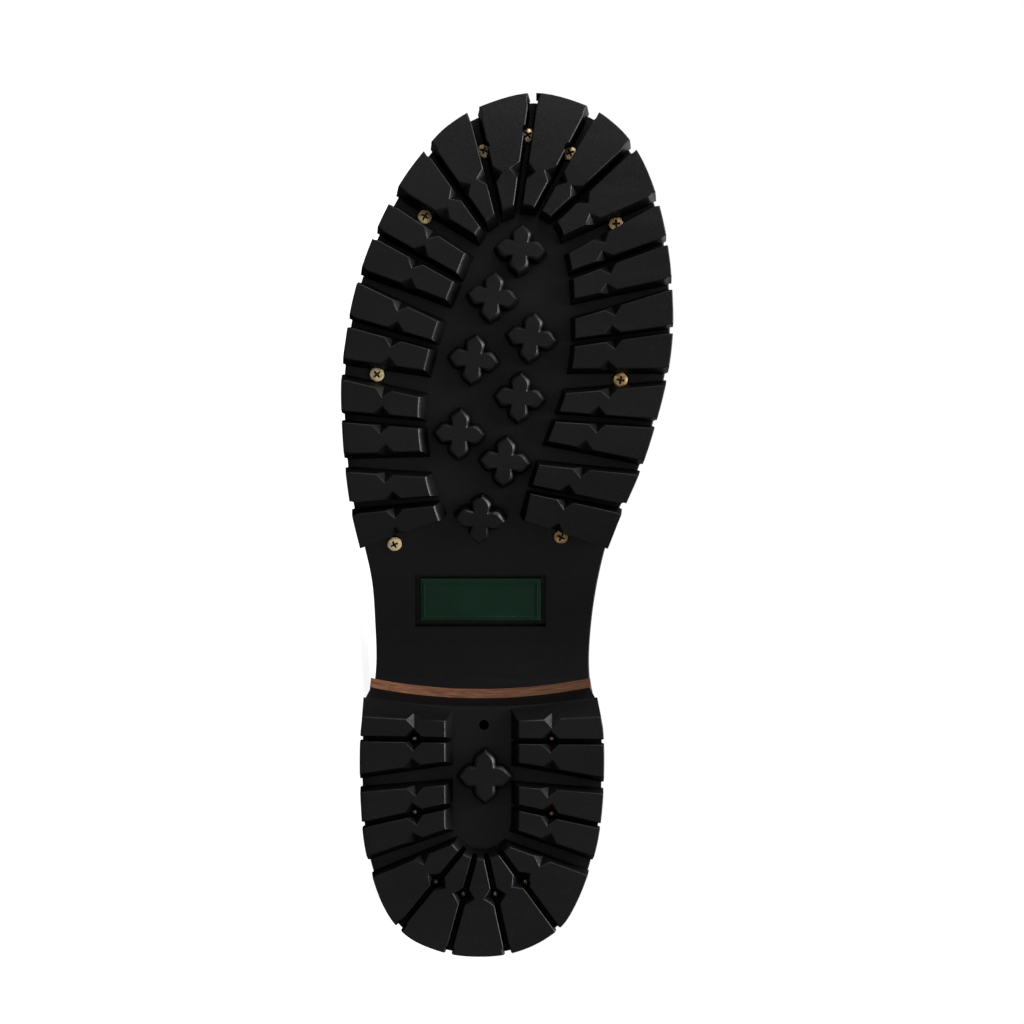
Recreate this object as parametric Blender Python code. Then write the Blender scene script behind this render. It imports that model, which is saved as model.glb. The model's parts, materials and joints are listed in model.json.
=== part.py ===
"""A logger boot for the right foot, empty and lying on its outer side.

The boot is worked out upright, in millimetres: a runs from the back of the heel to the toe,
b from the outer side (minus) to the inner side (plus), and c up from the tread.
A holder then turns the whole boot over onto its outer side, on z = 0.
"""

import math
from collections import namedtuple
from functools import lru_cache

import bmesh
import bpy
import numpy as np
from mathutils import Matrix, Vector
from mathutils.bvhtree import BVHTree

# Units and clearances, in millimetres
MM = 0.001
GAP = 0.3
MERGE = 0.02
OVERRUN = 1.0
CIRCLE_TURN = 0.37

# Outsole and heel
TOE_TIP = (304.9, 18.5)
HEEL_BACK = (0.8, 0.0)
PLATE = 5.5
LUG = 7.5
LUG_REACH = 1.0
LUG_ROOT = 0.5
SEAT_BACK = 33.0
SEAT_BREAST = 29.0
BREAST = 95.0
BALL_BACK = 165.0
BALL_FRONT = 215.0
TOE_SPRING = 16.0
SPRING_POWER = 1.8
HEEL_LUG = 8.0
LIFT = 4.0
LIFT_BEVEL = 3.2
BREAST_STEPS = 8
BLOCK_ROOT_INSET = 0.8
BLOCK_TOP_INSET = 1.6
LIFT_INSET = 1.4
BEND_STATIONS = (97, 108, 118, 128, 138, 148, 159, 228, 244, 259, 273, 287)
FLAT_ANGLE = math.radians(0.5)

# Welt, insole and upper
WELT = 3.2
WELT_INSET = 0.6
WELT_TOP_CLEAR, WELT_TOP_TOE_CLEAR = 1.7, 1.2
WELT_FOOT_CLEAR, WELT_FOOT_TOE_CLEAR = 0.5, 0.6
INSOLE = 3.0
INSOLE_SIDE = 1.7
WALL = 2.2
REVEAL_FOOT = 7.5
REVEAL_HEEL = 4.5
REVEAL_FROM, REVEAL_RUN = 60.0, 60.0
TOE_FROM, TOE_RUN = 262.0, 26.0
PLATE_TOP = LUG + PLATE
FEATHER_HEIGHT = PLATE_TOP + GAP
UPPER_CLEAR = 0.25
UPPER_FOOT = FEATHER_HEIGHT + UPPER_CLEAR

# Trim
SCREW_RADIUS = 2.6
SCREW_SIDES = 8
SCREW_LENGTH = 3.5
SCREW_FACE = LUG - 1.2
SCREW_STEP = math.radians(37.0)
CROSS_REACH = 1.7
CROSS_HALF = 0.42
CROSS_DEPTH = 0.9
NAIL_RADIUS = 1.5
NAIL_SIDES = 6
NAIL_DEPTH = 11.5
NAIL_LENGTH = 1.7
BADGE_SIZE = (14.6, 43.0)
BADGE_MARGIN = 1.75
BADGE_DEPTH = 1.6
BADGE_SINK = 0.4
BADGE_CENTRE = (122.4, -0.6)
EYELET_FIRST = 31.0
EYELET_PITCH = 23.0
EYELET_ROWS = 8
EYELET_SETBACK = 9.0
EYELET_HOLE = 2.6
EYELET_BORE = 1.5
EYELET_SIDES = 7
EYELET_CUT = (-4.0, 3.0)
EYELET_FLANGE = 4.3
EYELET_RISE = 0.8
EYELET_BASE = GAP
EYELET_END = 0.6 - WALL
LACE_RADIUS = 1.8
LACE_LIFT = EYELET_BASE + EYELET_RISE + LACE_RADIUS + 3 * GAP
TONGUE = 2.6
TONGUE_GAP = 1.15

# Half breadths of the outsole plate, outer and inner side, by distance from the heel
Breadth = namedtuple("Breadth", "station outer inner")
PLATE_EDGE = (
    Breadth(1.6, 9.0, 9.0),
    Breadth(6.5, 22.0, 22.0),
    Breadth(16.0, 31.5, 31.5),
    Breadth(30.0, 38.2, 38.2),
    Breadth(50.0, 41.3, 41.3),
    Breadth(70.0, 41.7, 41.7),
    Breadth(88.0, 39.6, 39.6),
    Breadth(101.0, 37.9, 38.1),
    Breadth(115.0, 38.2, 38.9),
    Breadth(129.0, 39.2, 41.0),
    Breadth(143.0, 42.0, 44.2),
    Breadth(157.0, 45.2, 48.7),
    Breadth(172.0, 47.3, 55.2),
    Breadth(188.0, 48.5, 60.4),
    Breadth(204.0, 48.7, 64.4),
    Breadth(219.0, 47.0, 66.4),
    Breadth(233.0, 44.4, 66.4),
    Breadth(247.0, 40.2, 65.3),
    Breadth(260.0, 34.8, 63.1),
    Breadth(273.0, 28.0, 59.4),
    Breadth(284.0, 20.1, 54.4),
    Breadth(293.0, 11.9, 47.4),
    Breadth(300.5, -0.8, 36.3),
)
LUG_START = Breadth(144.0, 42.2, 43.6)

# Inner ends of the forefoot lugs
LUG_INNER = (
    Breadth(153.5, 15.6, 15.2),
    Breadth(168.0, 20.0, 18.5),
    Breadth(184.0, 22.5, 24.3),
    Breadth(198.0, 22.4, 29.5),
    Breadth(212.0, 19.5, 32.6),
    Breadth(226.0, 15.3, 33.0),
    Breadth(240.0, 9.8, 32.3),
    Breadth(252.0, 4.6, 29.8),
    Breadth(260.5, -1.4, 25.8),
)
LUG_INNER_TIP = (266.0, 13.6)
LUG_INNER_DRAFT = 3.4

# Grooves between the lugs: where each leaves the edge, where it ends inside, and its width
Groove = namedtuple("Groove", "edge_a edge_b inner_a inner_b edge_width inner_width")
FOREFOOT_GROOVES = (
    Groove(302.0, 17.9, 264.0, 13.5, 3.2, 3.0),
    Groove(296.5, -2.1, 261.3, 6.9, 3.2, 2.6),
    Groove(283.6, -17.5, 257.7, 1.1, 3.0, 2.8),
    Groove(267.0, -29.3, 252.6, -1.6, 5.2, 5.0),
    Groove(254.4, -36.5, 238.6, -7.8, 3.0, 2.8),
    Groove(240.0, -42.0, 231.2, -11.0, 4.4, 6.0),
    Groove(223.8, -46.0, 217.0, -17.0, 3.2, 3.0),
    Groove(207.6, -48.5, 202.4, -19.0, 6.4, 8.6),
    Groove(191.2, -49.3, 189.4, -20.8, 2.8, 3.6),
    Groove(174.5, -47.5, 176.0, -20.0, 6.3, 7.6),
    Groove(158.6, -45.3, 160.8, -15.3, 3.0, 3.2),
    Groove(296.8, 38.4, 264.0, 19.6, 3.0, 2.8),
    Groove(285.0, 51.8, 259.6, 24.4, 3.0, 3.0),
    Groove(267.0, 60.7, 252.4, 28.6, 5.0, 5.6),
    Groove(253.8, 64.5, 240.5, 30.9, 3.4, 3.2),
    Groove(237.2, 65.8, 229.6, 32.8, 4.8, 7.4),
    Groove(222.2, 66.1, 217.2, 32.2, 2.6, 3.4),
    Groove(205.1, 65.1, 203.8, 30.2, 6.8, 8.8),
    Groove(189.4, 60.8, 191.2, 26.2, 3.2, 3.4),
    Groove(173.7, 55.8, 178.6, 21.6, 6.4, 7.8),
    Groove(158.7, 49.0, 165.2, 16.0, 2.8, 3.6),
)
NOTCH_AT_BALL, NOTCH_AT_TOE, NOTCH_AT_HEEL = 15.6, 13.4, 11.5
NOTCH_TOE_FROM, NOTCH_TOE_RUN = 225.0, 35.0
NOTCH_HALF = 2.9
NOTCH_DEPTH = 2.6
GROOVE_TAPER = 0.5
GROOVE_OVERRUN = 4.0

# Star lugs: centre, and turn in degrees
Star = namedtuple("Star", "a b turn")
FOREFOOT_STARS = (
    Star(250.0, 13.5, 5.0),
    Star(233.0, 3.6, 7.0),
    Star(218.4, 17.4, 8.0),
    Star(210.6, -3.0, 7.0),
    Star(197.2, 13.2, 4.0),
    Star(184.4, -8.0, 3.0),
    Star(174.6, 8.0, 5.0),
    Star(153.9, -0.6, 4.5),
)
HEEL_STAR = Star(63.4, 1.0, 0.0)
STAR_TIP = 8.4
STAR_SHOULDER = (5.3, 3.25)
STAR_VALLEY = 2.75
STAR_DRAFT = 1.0

# Screws in the outsole: place, and radius of the well that opens over the head
Screw = namedtuple("Screw", "a b well")
SCREWS = (
    Screw(292.6, 16.3, 2.1),
    Screw(286.8, 0.6, 2.1),
    Screw(286.0, 31.2, 2.1),
    Screw(262.8, -20.3, 2.4),
    Screw(260.1, 47.5, 2.4),
    Screw(205.5, -37.2, 2.75),
    Screw(203.5, 49.0, 2.75),
    Screw(143.0, -31.1, 2.75),
    Screw(145.8, 28.0, 2.75),
)

# Heel tread: half breadths, grooves and nails, outer side first
HEEL_EDGE = (
    Breadth(0.0, 6.5, 4.5),
    Breadth(1.8, 15.4, 13.3),
    Breadth(5.6, 24.4, 21.7),
    Breadth(11.0, 30.6, 28.6),
    Breadth(18.0, 35.0, 33.0),
    Breadth(27.0, 38.4, 36.8),
    Breadth(39.0, 41.5, 40.6),
    Breadth(53.0, 42.8, 42.6),
    Breadth(68.0, 43.2, 43.2),
    Breadth(79.0, 42.9, 42.9),
)
HEEL_GROOVES = (
    Groove(76.4, -43.0, 76.6, -12.7, 1.8, 2.0),
    Groove(62.2, -43.2, 64.4, -12.7, 4.8, 9.0),
    Groove(46.4, -42.0, 52.4, -12.7, 1.8, 2.2),
    Groove(33.0, -39.9, 42.0, -11.8, 5.6, 5.4),
    Groove(12.0, -27.6, 35.2, -8.6, 2.2, 2.2),
    Groove(2.8, -10.9, 32.4, -4.2, 2.2, 2.2),
    Groove(76.0, 43.0, 76.7, 12.7, 1.8, 2.0),
    Groove(61.2, 43.2, 63.3, 12.7, 4.6, 8.5),
    Groove(46.1, 42.0, 52.1, 12.7, 1.8, 2.2),
    Groove(32.5, 38.8, 42.0, 11.8, 6.6, 5.7),
    Groove(8.8, 26.3, 36.9, 8.2, 2.2, 2.2),
    Groove(2.8, 8.4, 32.4, 2.4, 2.2, 2.2),
)
HEEL_NAILS = (
    (76.5, -23.9),
    (76.5, 24.7),
    (50.4, -23.8),
    (49.9, 24.6),
    (25.7, -16.4),
    (25.7, 15.4),
    (21.4, -6.7),
    (21.4, 4.6),
)
PLAIN_HOLE = (81.4, 0.7)
HOLE_RADIUS = 2.0
CHANNEL_HALF = 12.7
CHANNEL_BACK = 46.0
CHANNEL_DRAFT = 2.1
CHANNEL_END_DRAFT = 0.4
CHANNEL_END_POINTS = 9
LUG_FRONT_SETBACK = 0.4

# Breast line of each level: side corner, and its middle
Corner = namedtuple("Corner", "station half middle")
TREAD_CORNER = Corner(84.4, 42.1, 83.4)
ROOT_CORNER = Corner(91.2, 40.6, 88.0)
TOP_CORNER = Corner(94.6, 39.6, 90.4)

# Upper, toe to heel: feather station, ridge point, ridge offset, bulge past the feather,
# least half width, roundness of the section and half width of the throat
Foot = namedtuple("Foot", "feather top_a top_c ridge bulge least power throat")
FOOT_SECTIONS = (
    Foot(295.7, 294.6, 35.0, 18.6, 1.5, 0.0, 0.90, 0.0),
    Foot(293.8, 295.8, 45.0, 18.3, 2.5, 0.0, 0.86, 0.0),
    Foot(289.5, 291.5, 54.5, 17.8, 3.0, 0.0, 0.84, 0.0),
    Foot(282.5, 284.0, 61.5, 17.2, 3.2, 0.0, 0.84, 0.0),
    Foot(272.5, 273.5, 66.8, 16.0, 3.2, 0.0, 0.85, 0.0),
    Foot(259.0, 260.0, 70.0, 14.5, 3.0, 0.0, 0.88, 0.0),
    Foot(243.0, 244.0, 73.0, 12.8, 2.8, 0.0, 0.92, 0.0),
    Foot(226.0, 227.0, 77.5, 11.0, 2.5, 0.0, 0.98, 0.0),
    Foot(208.0, 210.0, 84.0, 9.0, 2.3, 0.0, 1.04, 0.0),
    Foot(190.0, 193.5, 92.5, 7.2, 2.3, 0.0, 1.10, 0.0),
    Foot(180.5, 185.0, 97.8, 6.2, 2.4, 0.0, 1.13, 7.5),
    Foot(169.0, 175.5, 104.0, 5.2, 2.5, 0.0, 1.14, 10.0),
    Foot(148.0, 158.5, 118.5, 3.4, 3.0, 0.0, 1.12, 11.0),
    Foot(124.0, 143.0, 136.0, 2.0, 3.6, 0.0, 1.08, 11.5),
    Foot(98.0, 131.0, 155.5, 1.0, 3.2, 37.0, 1.02, 11.5),
    Foot(72.0, 124.5, 174.0, 0.5, 2.4, 38.4, 0.97, 11.5),
    Foot(48.0, 122.0, 190.0, 0.0, 2.2, 38.8, 0.93, 11.5),
    Foot(29.0, 121.3, 203.5, 0.0, 2.0, 38.8, 0.90, 11.5),
    Foot(16.0, 121.5, 214.0, 0.0, 2.0, 38.7, 0.88, 11.5),
    Foot(9.0, 121.9, 221.0, 0.0, 2.0, 38.6, 0.87, 11.5),
    Foot(5.3, 122.2, 225.5, 0.0, 2.0, 38.6, 0.86, 11.5),
)

# Upper, up the back seam: seam point, front point, half width, roundness, throat
Shaft = namedtuple("Shaft", "back_a back_c front_a front_c half power throat")
SHAFT_SECTIONS = (
    Shaft(2.8, 60.0, 122.7, 231.0, 38.4, 0.85, 11.5),
    Shaft(4.6, 88.0, 123.3, 238.0, 38.2, 0.85, 11.6),
    Shaft(9.4, 115.0, 123.9, 245.0, 38.6, 0.85, 11.8),
    Shaft(12.6, 146.0, 124.5, 252.0, 39.4, 0.86, 12.0),
    Shaft(12.4, 178.0, 125.1, 258.5, 40.6, 0.87, 12.2),
    Shaft(9.8, 210.0, 125.7, 264.5, 42.0, 0.88, 12.5),
    Shaft(6.8, 240.0, 126.3, 269.8, 43.2, 0.88, 12.8),
    Shaft(4.6, 263.0, 126.8, 273.6, 44.0, 0.88, 13.0),
    Shaft(3.2, 280.0, 127.2, 276.5, 44.4, 0.88, 13.2),
    Shaft(2.4, 294.0, 127.7, 289.0, 44.6, 0.88, 13.4),
)
COLLAR_ROW = len(FOOT_SECTIONS) + len(SHAFT_SECTIONS) - 2
TONGUE_TOP_ROW = COLLAR_ROW + 1
VAMP_ROW = 9
UPPER_COLUMNS = 9
STRIP_SHARE = 0.62
UPPER_ROWS = sorted(list(range(COLLAR_ROW + 1)) + [12.5, 13.5, 14.5, 16.5, 17.5])
TONGUE_COLUMNS = (-26.0, -19.0, -11.5, 0.0, 11.5, 19.0, 26.0)
TONGUE_ROWS = (9, 10, 11, 12, 12.5, 13, 13.5, 14, 14.5, 15, 16, 16.5, 17, 17.5,
               18, 19, 20, 21, 22, 24, 26, 28)
TONGUE_FIRST_ROW = VAMP_ROW - 0.4
TONGUE_HALF = TONGUE_COLUMNS[-1]

# Colours: base colour, roughness, metallic
Finish = namedtuple("Finish", "colour roughness metallic")
FINISHES = {
    "black_rubber": Finish((0.012, 0.012, 0.013), 0.45, 0.0),
    "green_rubber": Finish((0.01, 0.06, 0.04), 0.5, 0.0),
    "brass": Finish((0.55, 0.36, 0.10), 0.35, 1.0),
    "lift_leather": Finish((0.19, 0.09, 0.05), 0.8, 0.0),
    "brown_leather": Finish((0.06, 0.028, 0.014), 0.55, 0.0),
    "tan_leather": Finish((0.30, 0.17, 0.08), 0.7, 0.0),
    "brown_cord": Finish((0.09, 0.045, 0.02), 0.8, 0.0),
}


# Curves and outlines in the plan of the sole

def smooth(points, per_span):
    """Points along a soft curve that passes through the given points."""
    knots = [np.array(point, dtype=float) for point in points]
    knots = [2 * knots[0] - knots[1]] + knots + [2 * knots[-1] - knots[-2]]
    curve = []
    for before, start, end, after in zip(knots, knots[1:], knots[2:], knots[3:]):
        for step in range(per_span):
            t = step / per_span
            curve.append(0.5 * (2 * start + (end - before) * t
                                + (2 * before - 5 * start + 4 * end - after) * t ** 2
                                + (3 * start - before - 3 * end + after) * t ** 3))
    curve.append(knots[-2])
    return curve


def grown(chain, distance):
    """A chain that runs anticlockwise, moved outwards by a distance or by one for each point."""
    points = np.array(chain)
    ahead = np.vstack([points[1:], 2 * points[-1] - points[-2]])
    behind = np.vstack([2 * points[0] - points[1], points[:-1]])
    along = ahead - behind
    along /= np.linalg.norm(along, axis=1)[:, None]
    outward = np.stack([along[:, 1], -along[:, 0]], axis=1)
    return points + outward * np.broadcast_to(distance, len(points))[:, None]


def edge_points(rows, tip):
    """Outer side from heel to toe, the tip, then the inner side back to the heel."""
    outer = [(row.station, -row.outer) for row in rows]
    inner = [(row.station, row.inner) for row in reversed(rows)]
    return outer + [tip] + inner


@lru_cache(maxsize=None)
def plate_outline(per_span=2):
    """The whole outsole plate, from the back of the heel round and back to it."""
    round_trip = [HEEL_BACK] + edge_points(PLATE_EDGE, TOE_TIP) + [HEEL_BACK]
    return np.array(smooth(round_trip, per_span)[:-1])


@lru_cache(maxsize=None)
def feather_outline(extra=0.0, toe_extra=0.0):
    """The line where the upper meets the sole, inside the plate's edge by the welt's reveal."""
    outline = plate_outline()
    forward = np.clip((outline[:, 0] - REVEAL_FROM) / REVEAL_RUN, 0.0, 1.0)
    toe = np.clip((outline[:, 0] - TOE_FROM) / TOE_RUN, 0.0, 1.0)
    reveal = REVEAL_HEEL + (REVEAL_FOOT - REVEAL_HEEL) * forward - extra - toe_extra * toe
    closed = np.vstack([outline, outline[:1]])
    moved = grown(closed, -np.append(reveal, reveal[0]))
    moved[0] = (outline[0][0] + reveal[0], 0.0)
    return moved[:-1]


@lru_cache(maxsize=None)
def feather_half(station):
    """Offsets of the feather line, outer and inner, at a distance from the heel."""
    line = feather_outline()
    tip = int(np.argmax(line[:, 0]))
    outer, inner = line[:tip + 1], line[tip:][::-1]
    inner = np.vstack([line[:1], inner])
    return (float(np.interp(station, outer[:, 0], outer[:, 1])),
            float(np.interp(station, inner[:, 0], inner[:, 1])))


# The rise of the sole over the floor

def tread_height(a):
    """Height of the tread line: flat at the ball, up to the heel seat and up at the toe."""
    back, breast = SEAT_BACK - LUG, SEAT_BREAST - LUG
    seat_slope = (breast - back) / BREAST
    if a <= BREAST:
        return back + seat_slope * a
    if a < BALL_BACK:
        run = BALL_BACK - BREAST
        t = (a - BREAST) / run
        return breast * (2 * t ** 3 - 3 * t ** 2 + 1) + seat_slope * run * (t ** 3 - 2 * t ** 2 + t)
    if a <= BALL_FRONT:
        return 0.0
    return TOE_SPRING * ((a - BALL_FRONT) / (TOE_TIP[0] - BALL_FRONT)) ** SPRING_POWER


def tread_angle(a):
    """Slope of the tread line, in radians."""
    step = 0.05
    return math.atan((tread_height(a + step) - tread_height(a - step)) / (2 * step))


def bend(point):
    """A point of the flat sole, with its height over the tread, put on the bent sole."""
    a, b, h = point
    angle = tread_angle(a)
    return Vector((a - math.sin(angle) * h, b, tread_height(a) + math.cos(angle) * h))


# Mesh helpers

def finish(name):
    """The material of that name, made once."""
    if name in bpy.data.materials:
        return bpy.data.materials[name]
    look = FINISHES[name]
    material = bpy.data.materials.new(name)
    material.use_nodes = True
    shader = material.node_tree.nodes["Principled BSDF"]
    shader.inputs["Base Color"].default_value = (*look.colour, 1.0)
    shader.inputs["Roughness"].default_value = look.roughness
    shader.inputs["Metallic"].default_value = look.metallic
    material.diffuse_color = (*look.colour, 1.0)
    return material


def add_object(name, bm, look):
    """A scene object from a millimetre mesh, in metres, facing outwards."""
    bmesh.ops.recalc_face_normals(bm, faces=bm.faces[:])
    bmesh.ops.scale(bm, vec=(MM, MM, MM), verts=bm.verts[:])
    mesh = bpy.data.meshes.new(name)
    bm.to_mesh(mesh)
    bm.free()
    mesh.materials.append(finish(look))
    obj = bpy.data.objects.new(name, mesh)
    bpy.context.scene.collection.objects.link(obj)
    return obj


def add_loft(bm, levels):
    """A closed solid through rings of points, each ring as long as the next."""
    rings = [[bm.verts.new(point) for point in level] for level in levels]
    count = len(rings[0])
    for lower, upper in zip(rings, rings[1:]):
        for i in range(count):
            j = (i + 1) % count
            bm.faces.new((lower[i], lower[j], upper[j], upper[i]))
    bm.faces.new(rings[0][::-1])
    bm.faces.new(rings[-1])


def at_height(outline, height):
    """Plan points at one height."""
    return [(point[0], point[1], height) for point in outline]


def circle(centre, radius, sides):
    """Plan points of a circle, turned part of a side so that no two cuts share an edge line."""
    turns = [(i + CIRCLE_TURN) * math.tau / sides for i in range(sides)]
    return [(centre[0] + radius * math.cos(t), centre[1] + radius * math.sin(t)) for t in turns]


def combined(name, base, operation, fill, many=False):
    """The object cut by, or joined with, the solids that a filling function adds to one mesh."""
    tool_mesh = bmesh.new()
    fill(tool_mesh)
    tool = add_object(name + "_tool", tool_mesh, "black_rubber")
    change = base.modifiers.new(operation.lower(), "BOOLEAN")
    change.operation = operation
    change.object = tool
    change.use_self = many
    apply_modifiers(base)
    bpy.data.objects.remove(tool)


def apply_modifiers(obj):
    """The object's evaluated mesh in place of its modifiers."""
    seen = obj.evaluated_get(bpy.context.evaluated_depsgraph_get())
    mesh = bpy.data.meshes.new_from_object(seen)
    obj.modifiers.clear()
    obj.data = mesh


def bend_object(obj):
    """A flat sole piece cut across at the bending stations and put on the bent sole."""
    bm = bmesh.new()
    bm.from_mesh(obj.data)
    bmesh.ops.scale(bm, vec=(1 / MM, 1 / MM, 1 / MM), verts=bm.verts[:])
    bmesh.ops.dissolve_limit(bm, angle_limit=FLAT_ANGLE, verts=bm.verts[:], edges=bm.edges[:])
    for station in BEND_STATIONS:
        cut = bm.verts[:] + bm.edges[:] + bm.faces[:]
        bmesh.ops.bisect_plane(bm, geom=cut, dist=MERGE, plane_co=(station, 0, 0), plane_no=(1, 0, 0))
    bmesh.ops.triangulate(bm, faces=bm.faces[:])
    for vert in bm.verts:
        vert.co = bend(vert.co)
    bmesh.ops.scale(bm, vec=(MM, MM, MM), verts=bm.verts[:])
    bm.to_mesh(obj.data)
    bm.free()


# Outsole

def notch_place(groove):
    """How far the notch of a forefoot groove lies from its inner end."""
    toe = min(max((groove.inner_a - NOTCH_TOE_FROM) / NOTCH_TOE_RUN, 0.0), 1.0)
    return NOTCH_AT_BALL + (NOTCH_AT_TOE - NOTCH_AT_BALL) * toe


def add_groove(bm, groove, floor, notch):
    """A cutter for one groove: a tapered bar with a diamond notch on both of its sides."""
    inner = Vector((groove.inner_a, groove.inner_b))
    along = Vector((groove.edge_a, groove.edge_b)) - inner
    length = along.length
    along.normalize()
    across = Vector((-along.y, along.x))
    places = (-GROOVE_OVERRUN, notch - NOTCH_HALF, notch, notch + NOTCH_HALF, length + GROOVE_OVERRUN)

    def ring(height):
        draft = GROOVE_TAPER * (groove.inner_width + groove.edge_width) / 4 * height / floor
        sides = []
        for place in places:
            share = min(max(place / length, 0.0), 1.0)
            half = (groove.inner_width + (groove.edge_width - groove.inner_width) * share) / 2
            half = half - draft + (NOTCH_DEPTH if place == notch else 0.0)
            sides.append((inner + along * place, half))
        left = [middle + across * half for middle, half in sides]
        right = [middle - across * half for middle, half in reversed(sides)]
        return at_height(left + right, height)

    add_loft(bm, [ring(-OVERRUN), ring(floor + OVERRUN)])


def add_star(bm, star, height, root):
    """A four-pointed leaf star that stands on the floor of the tread."""
    def ring(grow, level):
        points = []
        for arm in range(4):
            turn = Matrix.Rotation(math.radians(star.turn + 90.0 * arm), 2)
            reach, wide = STAR_SHOULDER[0] + grow, STAR_SHOULDER[1] + grow
            valley = STAR_VALLEY + grow
            arm_points = ((valley, -valley), (reach, -wide), (STAR_TIP + grow, 0.0), (reach, wide))
            points += [turn @ Vector(point) + Vector((star.a, star.b)) for point in arm_points]
        return at_height(points, level)

    add_loft(bm, [ring(0.0, 0.0), ring(STAR_DRAFT * root / height, root)])


def lug_ring(bm):
    """The band of lugs round the forefoot, before its grooves are cut."""
    rows = [row for row in PLATE_EDGE if row.station > LUG_START.station]
    outer = grown(smooth(edge_points([LUG_START] + rows, TOE_TIP), 2), LUG_REACH)
    inner = np.array(smooth(edge_points(LUG_INNER, LUG_INNER_TIP), 2))
    inner_root = grown(inner, -LUG_INNER_DRAFT)
    root = LUG + LUG_ROOT
    add_loft(bm, [at_height(list(outer) + list(inner[::-1]), 0.0),
                  at_height(list(outer) + list(inner_root[::-1]), root)])


def badge_rectangle(margin):
    """Corners of the panel in the waist, grown by a margin."""
    half_a = BADGE_SIZE[0] / 2 + margin
    half_b = BADGE_SIZE[1] / 2 + margin
    a, b = BADGE_CENTRE
    return [(a - half_a, b - half_b), (a + half_a, b - half_b),
            (a + half_a, b + half_b), (a - half_a, b + half_b)]


def make_outsole():
    """Plate, lugs, stars, screw seats and the pocket of the panel, as one solid."""
    lugs_mesh = bmesh.new()
    lug_ring(lugs_mesh)
    lugs = add_object("lugs", lugs_mesh, "black_rubber")

    def grooves(bm):
        for groove in FOREFOOT_GROOVES:
            add_groove(bm, groove, LUG, notch_place(groove))

    combined("lugs", lugs, "DIFFERENCE", grooves)

    plate_mesh = bmesh.new()
    outline = plate_outline()
    add_loft(plate_mesh, [at_height(outline, LUG), at_height(outline, PLATE_TOP)])
    outsole = add_object("outsole", plate_mesh, "black_rubber")

    def raised(bm):
        bm.from_mesh(lugs.data)
        bmesh.ops.scale(bm, vec=(1 / MM, 1 / MM, 1 / MM), verts=bm.verts[:])
        for star in FOREFOOT_STARS:
            add_star(bm, star, LUG, LUG + LUG_ROOT)

    def sunk(bm):
        for screw in SCREWS:
            well = circle((screw.a, screw.b), screw.well, SCREW_SIDES)
            seat = circle((screw.a, screw.b), SCREW_RADIUS + 1.5 * GAP, SCREW_SIDES)
            add_loft(bm, [at_height(well, -OVERRUN), at_height(well, SCREW_FACE - GAP),
                          at_height(seat, SCREW_FACE - GAP),
                          at_height(seat, SCREW_FACE + SCREW_LENGTH + GAP)])
        pocket = badge_rectangle(BADGE_MARGIN)
        add_loft(bm, [at_height(pocket, LUG - OVERRUN), at_height(pocket, LUG + BADGE_DEPTH)])

    combined("outsole", outsole, "UNION", raised, many=True)
    combined("outsole", outsole, "DIFFERENCE", sunk)
    bpy.data.objects.remove(lugs)
    bend_object(outsole)
    return outsole


def make_badge():
    """The bare green panel in its pocket."""
    bm = bmesh.new()
    face = badge_rectangle(0.0)
    add_loft(bm, [at_height(face, LUG + BADGE_SINK), at_height(face, LUG + BADGE_DEPTH - GAP)])
    badge = add_object("badge", bm, "green_rubber")
    bend_object(badge)
    return badge


def screw_mesh():
    """A flat brass head with a cross cut in it, pointing down its own -Z."""
    bm = bmesh.new()
    head = circle((0.0, 0.0), SCREW_RADIUS, SCREW_SIDES)
    add_loft(bm, [at_height(head, 0.0), at_height(head, SCREW_LENGTH)])
    screw = add_object("screw", bm, "brass")

    def cross(tool):
        reach, half = CROSS_REACH, CROSS_HALF
        points = []
        for arm in range(4):
            turn = Matrix.Rotation(math.radians(90.0 * arm), 2)
            points += [turn @ Vector(p) for p in ((half, -half), (reach, -half), (reach, half))]
        add_loft(tool, [at_height(points, -OVERRUN), at_height(points, CROSS_DEPTH)])

    combined("screw", screw, "DIFFERENCE", cross)
    mesh = screw.data
    bpy.data.objects.remove(screw)
    return mesh


def make_screws():
    """The nine screws, each square to the bent sole."""
    mesh = screw_mesh()
    screws = []
    for number, place in enumerate(SCREWS, start=1):
        screw = bpy.data.objects.new(f"screw_{number}", mesh)
        bpy.context.scene.collection.objects.link(screw)
        screw.location = bend((place.a, place.b, SCREW_FACE)) * MM
        tilt = Matrix.Rotation(-tread_angle(place.a), 3, "Y")
        spin = Matrix.Rotation(SCREW_STEP * number, 3, "Z")
        screw.rotation_euler = (tilt @ spin).to_euler()
        screws.append(screw)
    return screws


# Heel

def heel_outline(corner, inset=0.0):
    """Heel outline at one level, drawn in by an inset, from the outer corner round to the inner."""
    inner = [(row.station, row.inner) for row in HEEL_EDGE] + [(corner.station, corner.half)]
    outer = [(row.station, -row.outer) for row in HEEL_EDGE] + [(corner.station, -corner.half)]
    return list(grown(inner[::-1] + outer, -inset)[::-1])


def breast_arc(corner):
    """Points between the two corners of the breast, inner side to outer side."""
    arc = []
    for step in range(1, BREAST_STEPS):
        b = corner.half * (1 - 2 * step / BREAST_STEPS)
        arc.append((corner.middle + (corner.station - corner.middle) * (b / corner.half) ** 2, b))
    return arc


def seat_level(a, drop):
    """Height of the heel seat less a drop."""
    return SEAT_BACK + (SEAT_BREAST - SEAT_BACK) * a / BREAST - drop


def channel(half, back):
    """The round end of the channel in the heel tread, from its inner side to its outer one."""
    return [(back - half * math.sin(t), half * math.cos(t))
            for t in np.linspace(0.0, math.pi, CHANNEL_END_POINTS)]


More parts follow.
